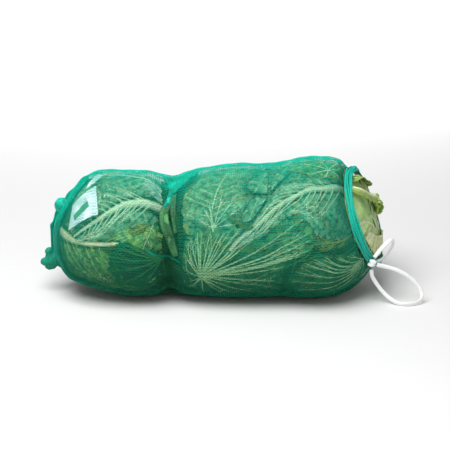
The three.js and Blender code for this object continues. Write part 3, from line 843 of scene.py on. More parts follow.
# Leaves with a midrib: rib, the margin above it and the margin below it, as (section, degrees).
RIB_LEAVES = [
    dict(
        name="left_leaf_low", head=LEFT_HEAD, depth=7.5, finish="fresh_green", seed=3, count=10,
        slant=0.55, rib_width=7.4, side=(0.6, 0.25), rib_end=0.36, stop=0.7,
        rib=[(2.0, 57), (2.6, 70), (3.5, 81), (4.4, 86), (5.3, 86.5), (6.5, 84), (7.6, 84), (8.7, 86)],
        near=[(1.7, 40), (2.6, 50), (3.7, 58), (4.7, 60), (5.7, 60), (6.6, 62), (7.7, 66), (8.8, 74)],
        far=[(1.6, 96), (2.4, 128), (3.5, 152), (4.6, 168), (5.7, 172), (6.8, 170), (8.0, 150), (8.9, 118)],
    ),
    dict(
        name="left_leaf_rib", head=LEFT_HEAD, depth=5.6, finish="blue_green", seed=5, count=12,
        slant=0.55, rib_width=8.4, side=(1.5, 0.4), rib_end=0.22,
        rib=[(8.75, 42), (7.9, 41), (7.2, 42), (6.6, 46), (6.0, 53), (5.1, 64), (4.3, 71), (3.4, 78)],
        near=[(8.8, 38), (8.2, 29), (7.6, 20), (6.7, 15), (5.8, 14), (4.9, 22), (4.0, 42), (3.2, 66)],
        far=[(8.85, 47), (8.5, 58), (8.0, 65), (7.3, 67), (6.6, 70), (5.8, 80), (4.8, 84), (3.6, 84)],
    ),
    dict(
        name="left_leaf_crown", head=LEFT_HEAD, depth=6.5, finish="blue_green", seed=8, rib_width=3.2,
        rib=[(9.1, 20), (8.38, 9), (7.65, 1), (6.62, -4), (5.37, -4), (4.4, -8), (3.4, -16)],
        near=[(9.2, 34), (8.5, 30), (7.6, 26), (6.6, 26), (5.6, 26), (4.5, 34), (3.2, 40)],
        far=[(9.1, -6), (8.4, -40), (7.4, -62), (6.4, -70), (5.4, -70), (4.4, -66), (3.2, -50)],
    ),
    dict(
        name="left_leaf_flap", head=LEFT_HEAD, depth=3.6, finish="pale", seed=9, count=5, rib_width=1.6,
        edge=1.0,
        rib=[(9.2, 34), (8.8, 28), (8.4, 21), (8.0, 15), (7.7, 11)],
        near=[(9.25, 30), (8.95, 20), (8.6, 13), (8.1, 8), (7.7, 9)],
        far=[(9.2, 38), (8.8, 36), (8.3, 32), (7.8, 22), (7.6, 14)],
    ),
    dict(
        name="left_leaf_tip", head=LEFT_HEAD, depth=6.2, finish="yellow_green", seed=11, count=3,
        rib_width=1.2, edge=0.8,
        rib=[(7.8, 66), (7.4, 70), (7.0, 73)],
        near=[(7.8, 63), (7.3, 66), (6.95, 71)],
        far=[(7.85, 70), (7.6, 74), (7.15, 75)],
    ),
    dict(
        name="left_leaf_patch", head=LEFT_HEAD, depth=7.0, finish="fresh_green", seed=12, count=4,
        rib_width=0.8, edge=1.0, side=(0.5, 0.25),
        rib=[(8.2, 64), (8.0, 74), (7.75, 84), (7.55, 92)],
        near=[(7.9, 66), (7.6, 76), (7.3, 86), (7.35, 92)],
        far=[(8.5, 64), (8.45, 76), (8.2, 86), (7.8, 94)],
    ),
    dict(
        name="middle_leaf_crown", head=MIDDLE_HEAD, depth=7.6, finish="yellow_edged", seed=21, count=9,
        rib_width=1.8, margin_width=0.1, edged_side="near",
        rib=[(12.1, 74), (12.0, 60), (12.1, 46), (12.3, 28), (12.6, 8), (12.9, -18), (13.1, -48)],
        near=[(10.95, 76), (10.5, 63), (10.3, 50), (10.4, 38), (10.95, 20), (11.5, 4), (11.6, -44)],
        far=[(12.8, 72), (13.05, 60), (13.28, 50), (13.4, 40), (13.2, 29), (13.45, 16), (14.2, -44)],
    ),
    dict(
        name="right_leaf_outer", head=RIGHT_HEAD, depth=4.6, finish="blue_green", seed=31, count=15,
        slant=0.42, rib_width=5.6, side=(1.25, 0.4), edge=1.7, rib_end=0.4,
        rib=[
            (20, 36), (18.6, 38), (17.4, 39), (16.6, 39), (15.85, 43), (15.05, 49), (14.35, 58),
            (13.8, 68), (13.12, 81), (12.67, 91),
        ],
        near=[
            (20, 26), (18.6, 28), (17.4, 27), (16.45, 26), (15.6, 22), (14.9, 30), (14.32, 43),
            (13.62, 66), (12.98, 80), (12.6, 90),
        ],
        far=[
            (19.9, 93), (18.6, 87), (17.6, 85), (16.8, 80), (16.3, 68), (15.6, 61), (14.8, 67),
            (14.0, 78), (13.3, 85), (12.72, 92),
        ],
    ),
    dict(
        name="right_leaf_wilted", head=RIGHT_HEAD, depth=8.0, finish="yellow_green", seed=35, count=6,
        rib_width=1.8, edge=1.2,
        rib=[(20, 92), (19.0, 90), (18.0, 88), (17.2, 87), (16.5, 87)],
        near=[(20, 84), (19.0, 82), (18.0, 80), (17.2, 80), (16.5, 82)],
        far=[(19.9, 98), (19.0, 97), (18.0, 93), (17.2, 93), (16.4, 92)],
    ),
    dict(
        name="right_leaf_hollow", head=RIGHT_HEAD, depth=10.0, finish="deep_green", seed=36, count=6,
        rib_width=2.0,
        rib=[(20, 108), (19.0, 104), (18.0, 100), (17.0, 98), (16.0, 98)],
        near=[(20, 90), (19.0, 88), (18.0, 86), (17.0, 86), (16.0, 90)],
        far=[(20, 118), (19.0, 118), (18.0, 114), (17.0, 110), (16.0, 106)],
    ),
    dict(
        name="back_leaf_left", head=LEFT_HEAD, depth=5.5, finish="blue_green", seed=41, count=9,
        rib_width=5.0, side=(1.3, 0.4),
        rib=[(1.9, -70), (3.2, -82), (4.6, -88), (6.0, -90), (7.4, -86), (8.8, -80)],
        near=[(1.8, -40), (3.0, -42), (4.4, -40), (6.0, -36), (7.6, -38), (9.0, -58)],
        far=[(1.9, -104), (3.0, -128), (4.4, -142), (6.0, -146), (7.6, -132), (8.9, -100)],
    ),
    dict(
        name="back_leaf_left_low", head=LEFT_HEAD, depth=8.5, finish="mid_green", seed=42,
        rib=[(2.0, 215), (3.4, 208), (5.0, 204), (6.6, 206), (8.2, 214)],
        near=[(1.9, 180), (3.2, 170), (5.0, 166), (6.8, 168), (8.6, 186)],
        far=[(2.0, 250), (3.4, 242), (5.0, 236), (6.6, 240), (8.4, 250)],
    ),
    dict(
        name="back_leaf_middle_low", head=MIDDLE_HEAD, depth=8.5, finish="mid_green", seed=44, count=8,
        rib=[(10.6, 206), (11.8, 202), (13.0, 200), (14.4, 202), (15.6, 208)],
        near=[(10.5, 172), (11.8, 158), (13.0, 156), (14.4, 158), (15.7, 170)],
        far=[(10.6, 240), (11.8, 240), (13.0, 236), (14.4, 236), (15.6, 240)],
    ),
    dict(
        name="back_leaf_right", head=RIGHT_HEAD, depth=5.0, finish="blue_green", seed=45, count=10,
        slant=0.28, rib_width=4.8, side=(1.2, 0.35),
        rib=[(20, -74), (18.8, -80), (17.6, -84), (16.4, -84), (15.2, -80), (14.0, -72)],
        near=[(20, -30), (18.8, -24), (17.6, -22), (16.4, -24), (15.2, -30), (13.8, -50)],
        far=[(20, -118), (18.8, -132), (17.6, -136), (16.2, -132), (15.0, -120), (13.9, -96)],
    ),
    dict(
        name="back_leaf_right_low", head=RIGHT_HEAD, depth=8.0, finish="mid_green", seed=46, count=8,
        rib=[(20, 206), (18.8, 204), (17.4, 202), (16.2, 202), (15.0, 206)],
        near=[(20, 158), (18.8, 156), (17.4, 160), (16.2, 164), (15.0, 180)],
        far=[(20, 250), (18.8, 240), (17.4, 236), (16.2, 236), (15.0, 238)],
    ),
    dict(
        name="right_leaf_back_crown", head=RIGHT_HEAD, depth=7.0, finish="fresh_green", seed=47, count=8,
        rib_width=2.6,
        rib=[(20, -12), (18.8, -12), (17.4, -14), (16.2, -16), (15.0, -20), (14.2, -24)],
        near=[(20, 30), (18.8, 26), (17.4, 22), (16.2, 14), (15.0, 2), (14.2, -10)],
        far=[(20, -46), (18.8, -44), (17.4, -42), (16.2, -42), (15.0, -44), (14.2, -40)],
    ),
]

# Leaves that spread round their stalk: rays are (share of the boundary, half width, bend if any).
FAN_LEAVES = [
    dict(
        name="left_leaf_dark", head=LEFT_HEAD, depth=4.4, finish="deep_green", seed=22, ragged=0.05,
        centre=(8.75, 99), margin_width=0.3, sharp=True,
        boundary=[
            (9.0, 103), (9.5, 116), (9.3, 132), (8.0, 136), (6.95, 132), (6.15, 128), (5.87, 112),
            (5.75, 100), (6.13, 88), (6.37, 84), (6.8, 81), (7.2, 84), (7.53, 87), (7.97, 90), (8.4, 95),
            (8.85, 98),
        ],
        rays=[
            (0.06, 0.9), (0.14, 0.9), (0.22, 1.0), (0.3, 1.0), (0.38, 1.1), (0.46, 1.1), (0.53, 1.1),
            (0.6, 1.0), (0.68, 0.9), (0.78, 0.8),
        ],
    ),
    dict(
        name="middle_leaf_fan", head=MIDDLE_HEAD, depth=6.2, finish="mid_green", seed=23, ragged=0.015,
        centre=(11.55, 116.5),
        boundary=[
            (15.1, 106), (15.27, 95), (15.7, 94), (16.2, 94), (16.55, 89), (16.6, 82), (16.45, 72),
            (16.0, 62), (15.0, 58), (14.2, 61), (13.7, 67), (13.3, 66), (13.05, 72), (12.7, 68),
            (12.45, 75), (12.15, 69), (11.8, 75), (11.45, 71), (11.15, 77), (10.85, 77), (10.7, 90),
            (10.6, 104), (10.6, 122), (10.8, 142), (11.4, 160), (12.4, 168), (13.6, 168), (14.4, 158),
            (14.8, 142), (14.95, 122),
        ],
        rays=[(k / 31 + 0.006 * (k % 3), 2.1 if k % 3 == 0 else 1.2, -0.008) for k in range(31)],
    ),
    dict(
        name="middle_leaf_second", head=MIDDLE_HEAD, depth=6.8, finish="blue_green", seed=24,
        ragged=0.03, centre=(12.12, 70),
        boundary=[
            (11.35, 62), (11.58, 52), (11.7, 50), (11.84, 46), (12.04, 42), (12.45, 36), (12.87, 35),
            (13.12, 39), (13.3, 45), (13.2, 57), (13.0, 66), (12.7, 76), (12.15, 80), (11.5, 76),
        ],
        rays=[(0.02, 0.5), (0.14, 0.6), (0.25, 0.7), (0.36, 0.6), (0.47, 0.7), (0.6, 0.6), (0.72, 0.5)],
    ),
    dict(
        name="middle_leaf_under", head=MIDDLE_HEAD, depth=7.0, finish="blue_green", seed=30,
        centre=(14.0, 34),
        boundary=[
            (12.9, 20), (13.4, 8), (14.2, 0), (15.2, -8), (15.9, 0), (16.1, 16), (15.6, 34), (15.2, 48),
            (14.6, 60), (13.8, 68), (13.1, 66), (12.8, 50), (12.8, 34),
        ],
        rays=[(0.3, 0.5)],
    ),
    dict(
        name="middle_leaf_torn", head=MIDDLE_HEAD, depth=4.0, finish="torn", seed=25, centre=(13.9, 24),
        edge=0.6, sharp=True, margin_width=0.12,
        boundary=[
            (13.28, 29), (13.5, 20), (13.8, 9), (14.32, 8), (14.27, 21), (14.2, 38.4), (13.9, 37.6),
            (13.58, 37.6),
        ],
        rays=[(0.1, 0.4), (0.35, 0.5), (0.6, 0.4), (0.85, 0.5)],
    ),
    dict(
        name="middle_leaf_torn_low", head=MIDDLE_HEAD, depth=4.2, finish="torn", seed=26,
        centre=(13.65, 52), edge=0.6, sharp=True, margin_width=0.12,
        boundary=[
            (13.56, 41.2), (13.9, 41.6), (14.2, 42), (13.97, 50), (13.52, 65), (13.2, 66.5), (13.12, 62),
            (13.32, 52),
        ],
        rays=[(0.1, 0.4), (0.3, 0.5), (0.55, 0.5), (0.8, 0.4)],
    ),
    dict(
        name="right_leaf_torn", head=RIGHT_HEAD, depth=4.4, finish="torn", seed=27, centre=(14.95, 16),
        edge=0.6, sharp=True, margin_width=0.12,
        boundary=[(14.42, 18), (14.92, 6), (15.43, -3), (15.6, 10), (14.85, 25), (14.34, 37)],
        rays=[(0.1, 0.4), (0.35, 0.5), (0.6, 0.4), (0.85, 0.5)],
    ),
    dict(
        name="right_leaf_low", head=RIGHT_HEAD, depth=6.0, finish="mid_green", seed=33, ragged=0.015,
        centre=(19.9, 133),
        boundary=[
            (20, 112), (19.3, 108), (18.3, 100), (17.3, 96), (16.4, 96), (15.5, 98), (15.2, 110),
            (15.3, 124), (15.6, 140), (16.2, 156), (17.2, 168), (18.4, 172), (19.3, 168), (20, 156),
        ],
        rays=[
            (0.08, 0.9), (0.15, 1.1), (0.23, 2.3), (0.29, 1.1), (0.35, 2.5), (0.42, 1.2), (0.49, 1.4),
            (0.57, 2.0), (0.65, 1.2), (0.73, 1.2), (0.83, 1.0),
        ],
    ),
    dict(
        name="right_leaf_dark", head=RIGHT_HEAD, depth=4.6, finish="deep_green", seed=34, ragged=0.03,
        centre=(15.6, 101), edge=0.5, margin_width=0.2, sharp=True,
        boundary=[
            (15.23, 92), (15.7, 94), (16.12, 96), (16.43, 93), (16.65, 88), (16.9, 91), (16.95, 95),
            (16.47, 99), (16.05, 102), (15.63, 110), (15.33, 121), (15.05, 134), (14.63, 134),
            (14.97, 112), (15.18, 99),
        ],
        rays=[(0.05, 0.5), (0.2, 0.6), (0.4, 0.6), (0.7, 0.6), (0.9, 0.5)],
    ),
    dict(
        name="right_leaf_crown", head=RIGHT_HEAD, depth=5.4, finish="fresh_green", seed=28, ragged=0.03,
        centre=(18.0, 14), edge=1.0,
        boundary=[
            (16.05, 0), (16.4, -8), (17.4, -14), (18.4, -14), (19.4, -10), (20, 0), (20, 16), (19.6, 24),
            (18.4, 26), (17.4, 26), (16.6, 25), (16.3, 14),
        ],
        rays=[(0.0, 1.0), (0.15, 0.9), (0.3, 1.0), (0.45, 1.0), (0.6, 0.9), (0.72, 0.9), (0.86, 1.0)],
    ),
    dict(
        name="back_leaf_middle", head=MIDDLE_HEAD, depth=6.0, finish="blue_green", seed=43, ragged=0.015,
        centre=(12.6, -102),
        boundary=[
            (15.3, -100), (15.5, -84), (15.3, -66), (14.6, -52), (13.6, -44), (12.4, -42), (11.3, -48),
            (10.7, -62), (10.55, -84), (10.55, -106), (10.8, -130), (11.6, -146), (13.0, -150),
            (14.4, -142), (15.2, -122),
        ],
        rays=[
            (k / 29 + 0.008 * (k % 3), 1.9 if k % 3 == 1 else 1.1, 0.015 * ((k * 7) % 5 - 2))
            for k in range(29)
        ],
    ),
]


# Each head's name, its pressed end, and the sections between which it lies
HEADS = (
    ("head_left", LEFT_HEAD, 1.1, 9.58),
    ("head_middle", MIDDLE_HEAD, 9.62, 15.4),
    ("head_right", RIGHT_HEAD, 15.42, 20.0),
)
# The cores carry a painted shadow, CORE_SHADOW, so the gaps between the outer leaves look dark
CORE_GRID, CORE_DEPTH, CORE_SHADOW = (70, 110), 11.0, 0.7
CORE_BUMP, CORE_BUMP_MM = 0.8, 16.0  # height and width of the bumps


def head_core(name, head, first, last):
    """The inner leaves of a head, closed at both ends, painted in shade, that show only between the outer
    ones.
    """
    piece, u, v = grid(name, *CORE_GRID)
    place = head_point(head, mix(first, last, u), 2 * pi * v, CORE_DEPTH)
    set_coordinates(piece, place + CORE_BUMP * roughness_at(place, CORE_BUMP_MM, first)[:, None])
    note_leaf(closed(piece), shadow=CORE_SHADOW)
    return dress(piece, leaf_material("mid_green"), "net_bag")


class CABBAGES_OT_heads(bpy.types.Operator):
    """The three heads, under their outer leaves."""

    bl_idname = "cabbages.heads"
    bl_label = "Heads"

    def execute(self, context):
        for head in HEADS:
            head_core(*head)
        return {"FINISHED"}


class CABBAGES_OT_leaves(bpy.types.Operator):
    """The outer leaves that show through the net."""

    bl_idname = "cabbages.leaves"
    bl_label = "Outer leaves"

    def execute(self, context):
        for make, leaves in ((rib_leaf, RIB_LEAVES), (fan_leaf, FAN_LEAVES)):
            for leaf in leaves:
                make(**leaf)
        return {"FINISHED"}


# ---- Exposed top of the last head ----
WRAPPERS = [
    dict(
        name="crown_leaf_back", node="mouth_leaf_back", finish="bare_dark", from_to=(-62, 16),
        shares=(0.84, 0.64), lifts=(5, 14), waves=(3, 1.6), seed=51, edge=1.0,
    ),
    dict(
        name="crown_leaf_upper", node="mouth_leaf_upper", finish="bare_pale", from_to=(84, 190),
        shares=(0.85, 0.24), lifts=(4, 5.2), waves=(2, 0.6), seed=52, edge=1.6,
    ),
    dict(
        name="crown_leaf_lower", node="mouth_leaf_lower", finish="bare_cream", from_to=(106, 224),
        shares=(0.8, 0.42), lifts=(7.5, 9.5), waves=(3, 0.8), seed=53, edge=1.2,
    ),
    dict(
        name="crown_leaf_far", node="mouth_head", finish="bare_pale", from_to=(186, 330),
        shares=(0.93, 0.2), lifts=(7.5, 1.6), waves=(3, 0.6), seed=55, edge=0.8,
    ),
]
WRAPPER_GRAIN, WRAPPER_VEINS, WRAPPER_MIDRIB = 1.1, 7, 3
RIM_ROUNDING = 0.55


def crown_leaf(name, node, finish, from_to, shares, lifts, waves, seed, edge):
    """A leaf that wraps the exposed head, from under the hem to a free wavy rim."""
    rng = random.Random(seed)
    root, rim = shares

    def place(u, v, lift):
        # u runs from the root to the rim here, and v round the head
        angle = np.radians(mix(*from_to, v))
        bend = 1 - (2 * v - 1) ** 2
        wave = waves[1] * np.sin(waves[0] * pi * v + 0.8)
        rim_share = rim + (1 - bend) * (root - rim) * RIM_ROUNDING
        return dome_point(mix(root, rim_share, u), angle, mix(lifts[0], lifts[1] + wave, u) + lift)

    length, width = span_of(place)
    piece, u, v = grid(name, int(length / WRAPPER_GRAIN), int(width / WRAPPER_GRAIN))
    veins = Veins(place)
    for k in range(WRAPPER_VEINS):
        at = 0.1 + 0.8 * (k + 0.4 * rng.random()) / 6.4
        s = np.linspace(0, 0.9, 16)
        start = 1.9 if k == WRAPPER_MIDRIB else 1.0
        veins.draw(s, at + (at - 0.5) * 0.16 * s**2, start, 0.35, 0.5)
        for fork in (0.3, 0.5, 0.7):
            q = np.linspace(0, 1, 8)
            way = rng.choice((-1, 1))
            veins.draw(fork + (0.95 - fork) * q, np.clip(at + way * 0.05 * q, 0, 1), 0.6, 0.25, 0.4, FINE)
    rise = edge * bump(1 - u, 0.12)
    finish_leaf(piece, place, u, v, veins, seed, rise, border_of(u, v), 0.07, 0.5)
    return dress_leaf(piece, finish, node)


# The arching rib: share of the dome's radius, degrees, lift and width
ARCH_PATH = [
    (0.86, 33, 5, 14), (0.7, 31, 8.5, 15), (0.54, 27, 11, 16), (0.4, 19, 12.5, 17), (0.3, -8, 13, 18),
    (0.32, -45, 13, 19), (0.42, -78, 10.5, 18), (0.54, -104, 8, 10),
]
ARCH_THICKNESS, ARCH_DROOP, ARCH_ROOT_DEPTH = 10.0, 2.0, 40
ARCH_LIGHT_SIDE = -1  # the side of the rib that faces the near side of the bag is the paler
ARCH_KNOBS, ARCH_KNOB_SIZE = 6.0, 10.0  # how far the curled end stands out in knobs, and how wide they are

# Knobs of the curled end: share of the rib's length, how far to its side, how far out, radius
ARCH_LOBES = [
    (0.72, 7, 3, 5.0), (0.79, -5, 5, 5.5), (0.83, 6, 5, 5.5), (0.9, -6, 3, 5.5), (0.92, 4, 5, 6.0),
    (0.98, -1, 2, 6.5),
]


def arch_frame(u):
    """The middle of the arching rib at shares of its length, and its directions across and away."""
    path = np.array([dome_point(share, radians(turn), lift) for share, turn, lift, _ in ARCH_PATH])
    centre = along(path, u)
    ahead = along(path, u + TANGENT_STEP) - along(path, u - TANGENT_STEP)
    away = unit(centre - mouth_point(0.0, 0.0, DOME_BASE - ARCH_ROOT_DEPTH))
    return centre, unit(np.cross(ahead, away)), away


def arch_leaf():
    """The thick rib that arches over the head, round and cream above and green at its edges."""
    widths = np.array([[row[3]] for row in ARCH_PATH], float)
    piece, u, v = grid("crown_leaf_arch", 110, 40)
    centre, across, away = arch_frame(u)
    turn = 2 * pi * v
    side, up = np.cos(turn), np.sin(turn)
    half = along(widths, u)[:, 0] / 2 * (1 - 0.9 * ease(0.94, 1, u))
    thick = ARCH_THICKNESS / 2 * (0.35 + 0.65 * (1 - side**2))
    ruffle = 1.5 * np.sin(u * 38) * side**4
    lift = thick * up - ARCH_DROOP * side**2 + ruffle
    place = centre + across * (half * side)[:, None] + away * lift[:, None]
    knobs = ARCH_KNOBS * np.abs(roughness_at(place, ARCH_KNOB_SIZE, 56)) * ease(0.55, 0.8, u)
    section = across * side[:, None] + away * up[:, None]
    set_coordinates(piece, place + section * knobs[:, None])
    rib = bump(side * ARCH_LIGHT_SIDE - 0.35, 0.75) * ease(-0.5, 0.3, up) * ease(1.0, 0.6, u)
    edges = bump(np.abs(side) - 1, 0.3) * 0.6 + 0.3 * ease(0.5, 0.8, u)
    # Painted shadow on the underside of the rib
    note_leaf(piece, rib * 0.95, edges, ease(0.1, 0.9, -up) * 0.5)
    return dress_leaf(closed(piece), "bare_dark", "mouth_leaf_arch")


def arch_curl():
    """The knobby curled end of the arching leaf."""
    lobes = []
    for share, beside, out, size in ARCH_LOBES:
        centre, across, away = (row[0] for row in arch_frame(np.array([share])))
        lobes.append((centre + across * beside + away * out, size))
    piece, place, normals = lump("crown_leaf_curl", lobes, (32, 20), 0.8, 0.5, 3)
    folds = np.abs(roughness_at(place, 6.0, 57))
    set_coordinates(piece, place + normals * (2.4 * folds - 0.8)[:, None])
    # Painted shadow in the hollows between the knobs
    note_leaf(piece, ease(0.2, 0.7, folds) * 0.8, ease(0.1, 0.5, folds) * 0.7, ease(0.14, 0.0, folds) * 0.5)
    smooth(piece)
    return dress_leaf(piece, "bare_dark", "mouth_leaf_arch")


CROWN_VEINS = 11
CROWN_WRAPS, CROWN_STEP = 3, 1.3  # leaves that wrap over each other on the bare top, and their thickness


def crown_head():
    """The waxy top of the last head, with the steps where its leaves wrap over each other."""
    piece, u, v = grid("crown_head", 74, 230)
    reach = np.arccos(((DOME_CUT - DOME_BASE) / DOME_HEIGHT) ** (DOME_ROUNDNESS / 2))

    def place(u, v, lift):
        share = np.sin(np.maximum(u, 0.001) * reach) ** (2 / DOME_ROUNDNESS)
        return dome_point(share, 2 * pi * v, lift)

    rng = random.Random(54)
    veins = Veins(place)
    for k in range(CROWN_VEINS):
        at = (k + 0.5 * rng.random()) / CROWN_VEINS
        s = np.linspace(0.98, 0.12, 24)
        veins.draw(s, at + 0.09 * (1 - s) ** 2, 1.0, 0.3, 0.5)
        for fork in (0.8, 0.62, 0.45):
            q = np.linspace(0, 1, 8)
            way = rng.choice((-1, 1))
            veins.draw(fork - 0.3 * q, at + 0.09 * (1 - fork) ** 2 + way * 0.05 * q, 0.5, 0.25, 0.3, FINE)
    base = place(u, v, 0.0)
    lift, share, beside, _ = veins.relief(base)
    fold = roughness_at(base, 11.0, 5.0)
    turn = (v * CROWN_WRAPS + 0.75 * u) % 1.0
    set_coordinates(piece, place(u, v, lift + 0.6 * np.abs(fold) - CROWN_STEP * turn - 0.2))
    # Painted shadow in the creases beside the veins, faded at the top
    note_leaf(piece, share * 0.8, ease(0.94, 1.0, turn) * 0.6, 0.35 * beside * ease(0.04, 0.2, u))
    return dress(closed(piece), leaf_material("bare_green"), "mouth_head")


class CABBAGES_OT_crown(bpy.types.Operator):
    """The exposed top of the last head and the leaves that wrap it."""

    bl_idname = "cabbages.crown"
    bl_label = "Exposed head"

    def execute(self, context):
        crown_head()
        for wrapper in WRAPPERS:
            crown_leaf(**wrapper)
        arch_leaf()
        arch_curl()
        return {"FINISHED"}


# ---- Net ----
LABEL_SECTIONS, LABEL_ANGLES = (3.1, 5.5), (4, 70)
LABEL_BULGE = 2.3  # how far the net stands off where it goes over the label
WRINKLE, GATHER = 0.7, 1.2
WAIST_SHADE, WAIST_SHADE_WIDTH, WAIST_SHADE_HEIGHTS = 0.8, 24, (205, 165)  # painted shade: the threads over the fold between heads are darker; share, width and heights
INLAY_DEPTH = 0.15  # how much deeper the zigzag threads lie than the wales
BUNCHING = 0.14  # share of their spacing by which neighbouring wales close up in places
FIRST_HEAD_THREADS = 0.78  # the net is stretched thinner over the first head


def net_surface(section, angle, lift=0.0):
    """Where the net lies, with its small wrinkles and its bulge over the label."""
    inside = 1
    for (low, high), margin, value in (
        (LABEL_SECTIONS, 0.4, section), (LABEL_ANGLES, 8, np.degrees(angle)),
    ):
        inside = inside * ease(low - margin, low, value) * (1 - ease(high, high + margin, value))
    wrinkle = WRINKLE * np.sin(section * 5.1 + 3 * np.sin(angle * 5)) * np.sin(angle * 9 + section * 1.7)
    gather = GATHER * ease(SECTIONS - 2.2, SECTIONS, section) * np.sin(angle * 46 + 2 * np.sin(angle * 7))
    return net_point(section, angle, lift + LABEL_BULGE * inside + wrinkle + gather)


def threads(name, lines, outward, half_width):
    """Threads along rows of points. There are too many for curves, so each is three-sided and made here."""
    rows, count, _ = lines.shape
    side = unit(np.cross(np.gradient(lines, axis=1), outward))
    half = np.broadcast_to(half_width, (rows, count))[..., None]
    corners = np.stack([lines + outward * half, lines - side * half, lines + side * half], 2)
    corners[:, :, 1:] -= outward[:, :, None] * half[:, :, None] * 0.8
    index = np.arange(rows * count * 3).reshape(rows, count, 3)
    faces = []
    for k in range(3):
        a, b = index[:, :-1, k], index[:, :-1, (k + 1) % 3]
        c, d = index[:, 1:, (k + 1) % 3], index[:, 1:, k]
        faces.append(np.stack([a, b, c, d], -1).reshape(-1, 4))
    mesh = bpy.data.meshes.new(name)
    caps = np.concatenate([index[:, 0, ::-1], index[:, -1]])
    vertices = corners.reshape(-1, 3) * MM
    vertices[:, 2] = np.maximum(vertices[:, 2], 0)
    mesh.from_pydata(vertices.tolist(), [], np.concatenate(faces).tolist() + caps.tolist())
    piece = bpy.data.objects.new(name, mesh)
    bpy.context.scene.collection.objects.link(piece)
    x, _, z = corners.reshape(-1, 3).T
    # Painted shade over the fold between the heads, kept as fold
    note(piece, "fold", WAIST_SHADE * bump(x - WAIST_X, WAIST_SHADE_WIDTH) * ease(*WAIST_SHADE_HEIGHTS, z))
    mesh.shade_smooth()
    return piece


def outward_of(surface, u, v):
    return unit(surface(u, v, 1.0) - surface(u, v, 0.0))


def wales_on(name, surface, count, rows, half_width):
    """Lengthwise threads on surface(u, v, lift)."""
    v, u = np.meshgrid((np.arange(count) + 0.5) / count, np.linspace(0, 1, rows), indexing="ij")
    return threads(name, surface(u, v, 0.0), outward_of(surface, u, v), half_width)


def inlay_on(name, surface, count, rows, half_width, first=0, last=None):
    """Threads that zigzag between neighbouring wales."""
    gaps = np.arange(first, last or count)[:, None]
    row = np.arange(rows)
    v = (gaps + 0.5 + (row + gaps) % 2) / count
    u = np.broadcast_to(row / (rows - 1), v.shape)
    return threads(name, surface(u, v, -INLAY_DEPTH), outward_of(surface, u, v), half_width)


def even_sections(pitch):
    """Sections of the bag that lie a pitch apart along its near side."""
    fine = np.linspace(0, SECTIONS, 2000)
    line = net_point(fine, radians(90.0), 0.0, False)
    reach = np.concatenate([[0], np.cumsum(np.linalg.norm(np.diff(line, axis=0), axis=1))])
    rows = int(reach[-1] / pitch)
    return np.interp(np.linspace(0, reach[-1], rows), reach, fine)


class CABBAGES_OT_net(bpy.types.Operator):
    """The knitted net round the heads."""

    bl_idname = "cabbages.net"
    bl_label = "Net"

    def execute(self, context):
        settings = context.scene.cabbage_net
        sections = even_sections(settings.row_pitch / MM)
        rows, wales = len(sections), settings.wales

        def section_at(u):
            return np.interp(u, np.linspace(0, 1, rows), sections)

        def surface(u, v, lift):
            section = section_at(u)
            odd = 1 - 2 * (np.round(v * wales - 0.5) % 2)
            patch = 0.5 + 0.5 * np.sin(section * 2.3 + 3 * np.sin(v * 31)) * np.sin(v * 67 + section)
            return net_surface(section, 2 * pi * (v + odd * BUNCHING * patch / wales), lift)

        def width(share, count):
            stretch = mix(FIRST_HEAD_THREADS, 1, ease(8.0, 10.0, section_at(np.linspace(0, 1, count))))
            return share / MM / 2 * stretch * (1 + 0.15 * np.sin(np.arange(count) * 1.7))

        finish = net_material()
        thick, thin = width(settings.wale_width, rows // 2), width(settings.inlay_width, rows)
        for piece in (
            wales_on("net_wales", surface, wales, rows // 2, thick),
            inlay_on("net_inlay_near", surface, wales, rows, thin, 0, wales // 2),
            inlay_on("net_inlay_far", surface, wales, rows, thin, wales // 2, wales),
        ):
            dress(piece, finish, "net_bag")
        return {"FINISHED"}


# Between the first two heads: half width, depth under the net, and path as (section, degrees)
WAIST_STRIPS = [
    (
        "waist_leaf_strip", "mid_green", 8.4, 5.0,
        [(9.6, 28), (8.95, 44), (8.85, 55), (9.05, 67), (9.6, 77), (10.0, 88), (10.2, 96)],
    ),
    ("waist_leaf_inner", "mid_green", 4.6, 6.0, [(10.1, 22), (10.0, 35), (10.0, 48), (10.1, 59), (10.2, 72)]),
    (
        "waist_leaf_outer", "deep_green", 4.4, 4.6,
        [(10.5, 38), (10.35, 50), (10.35, 62), (10.5, 72), (10.5, 84)],
    ),
    (
        "waist_leaf_low", "deep_green", 5.0, 4.6,
        [(9.0, 101), (9.8, 104), (10.4, 110), (10.8, 118), (10.9, 130)],
    ),
    (
        "middle_leaf_curl", "yellow_green", 3.0, 3.6,
        [(12.6, 57), (12.75, 62), (13.08, 67), (13.3, 71.5), (13.6, 70)],
    ),
]
WAIST_FOLDS = [
    ("net_fold_low", 2.6, 3.0, [(7.8, 87), (8.3, 92), (9.0, 96), (9.7, 98), (10.5, 101)]),
    ("net_fold_high", 4.0, 3.2, [(9.9, 4), (9.75, 20), (9.1, 36), (8.9, 44)]),
    ("net_fold_far", 5.0, 3.4, [(9.6, -8), (9.5, -40), (9.8, -75), (9.6, -110), (9.7, -140)]),
]
STRIP_STEP, STRIP_FLATNESS = 0.01, 0.38
TOP_GATHER = dict(middle=10.0, reach=1.35, near=26, far=-64, tail=100, depth=1.8)
PRESSED_SECTIONS = (8.3, 11.0)
PRESSED_DEPTH = (9.0, 10.0)  # at the waist, and how much more at the ends of the sections
LEAF_SHEET, NET_SHEET = 0.8, 0.5  # thickness of a sheet of pressed leaves and of folded net


def under_net(section, degrees, depth):
    """A point at a depth under the net where it is drawn in between the heads, without its pleats."""
    angle = np.radians(degrees)
    return net_point(section, angle, -depth - drawn_in(section, angle), False)


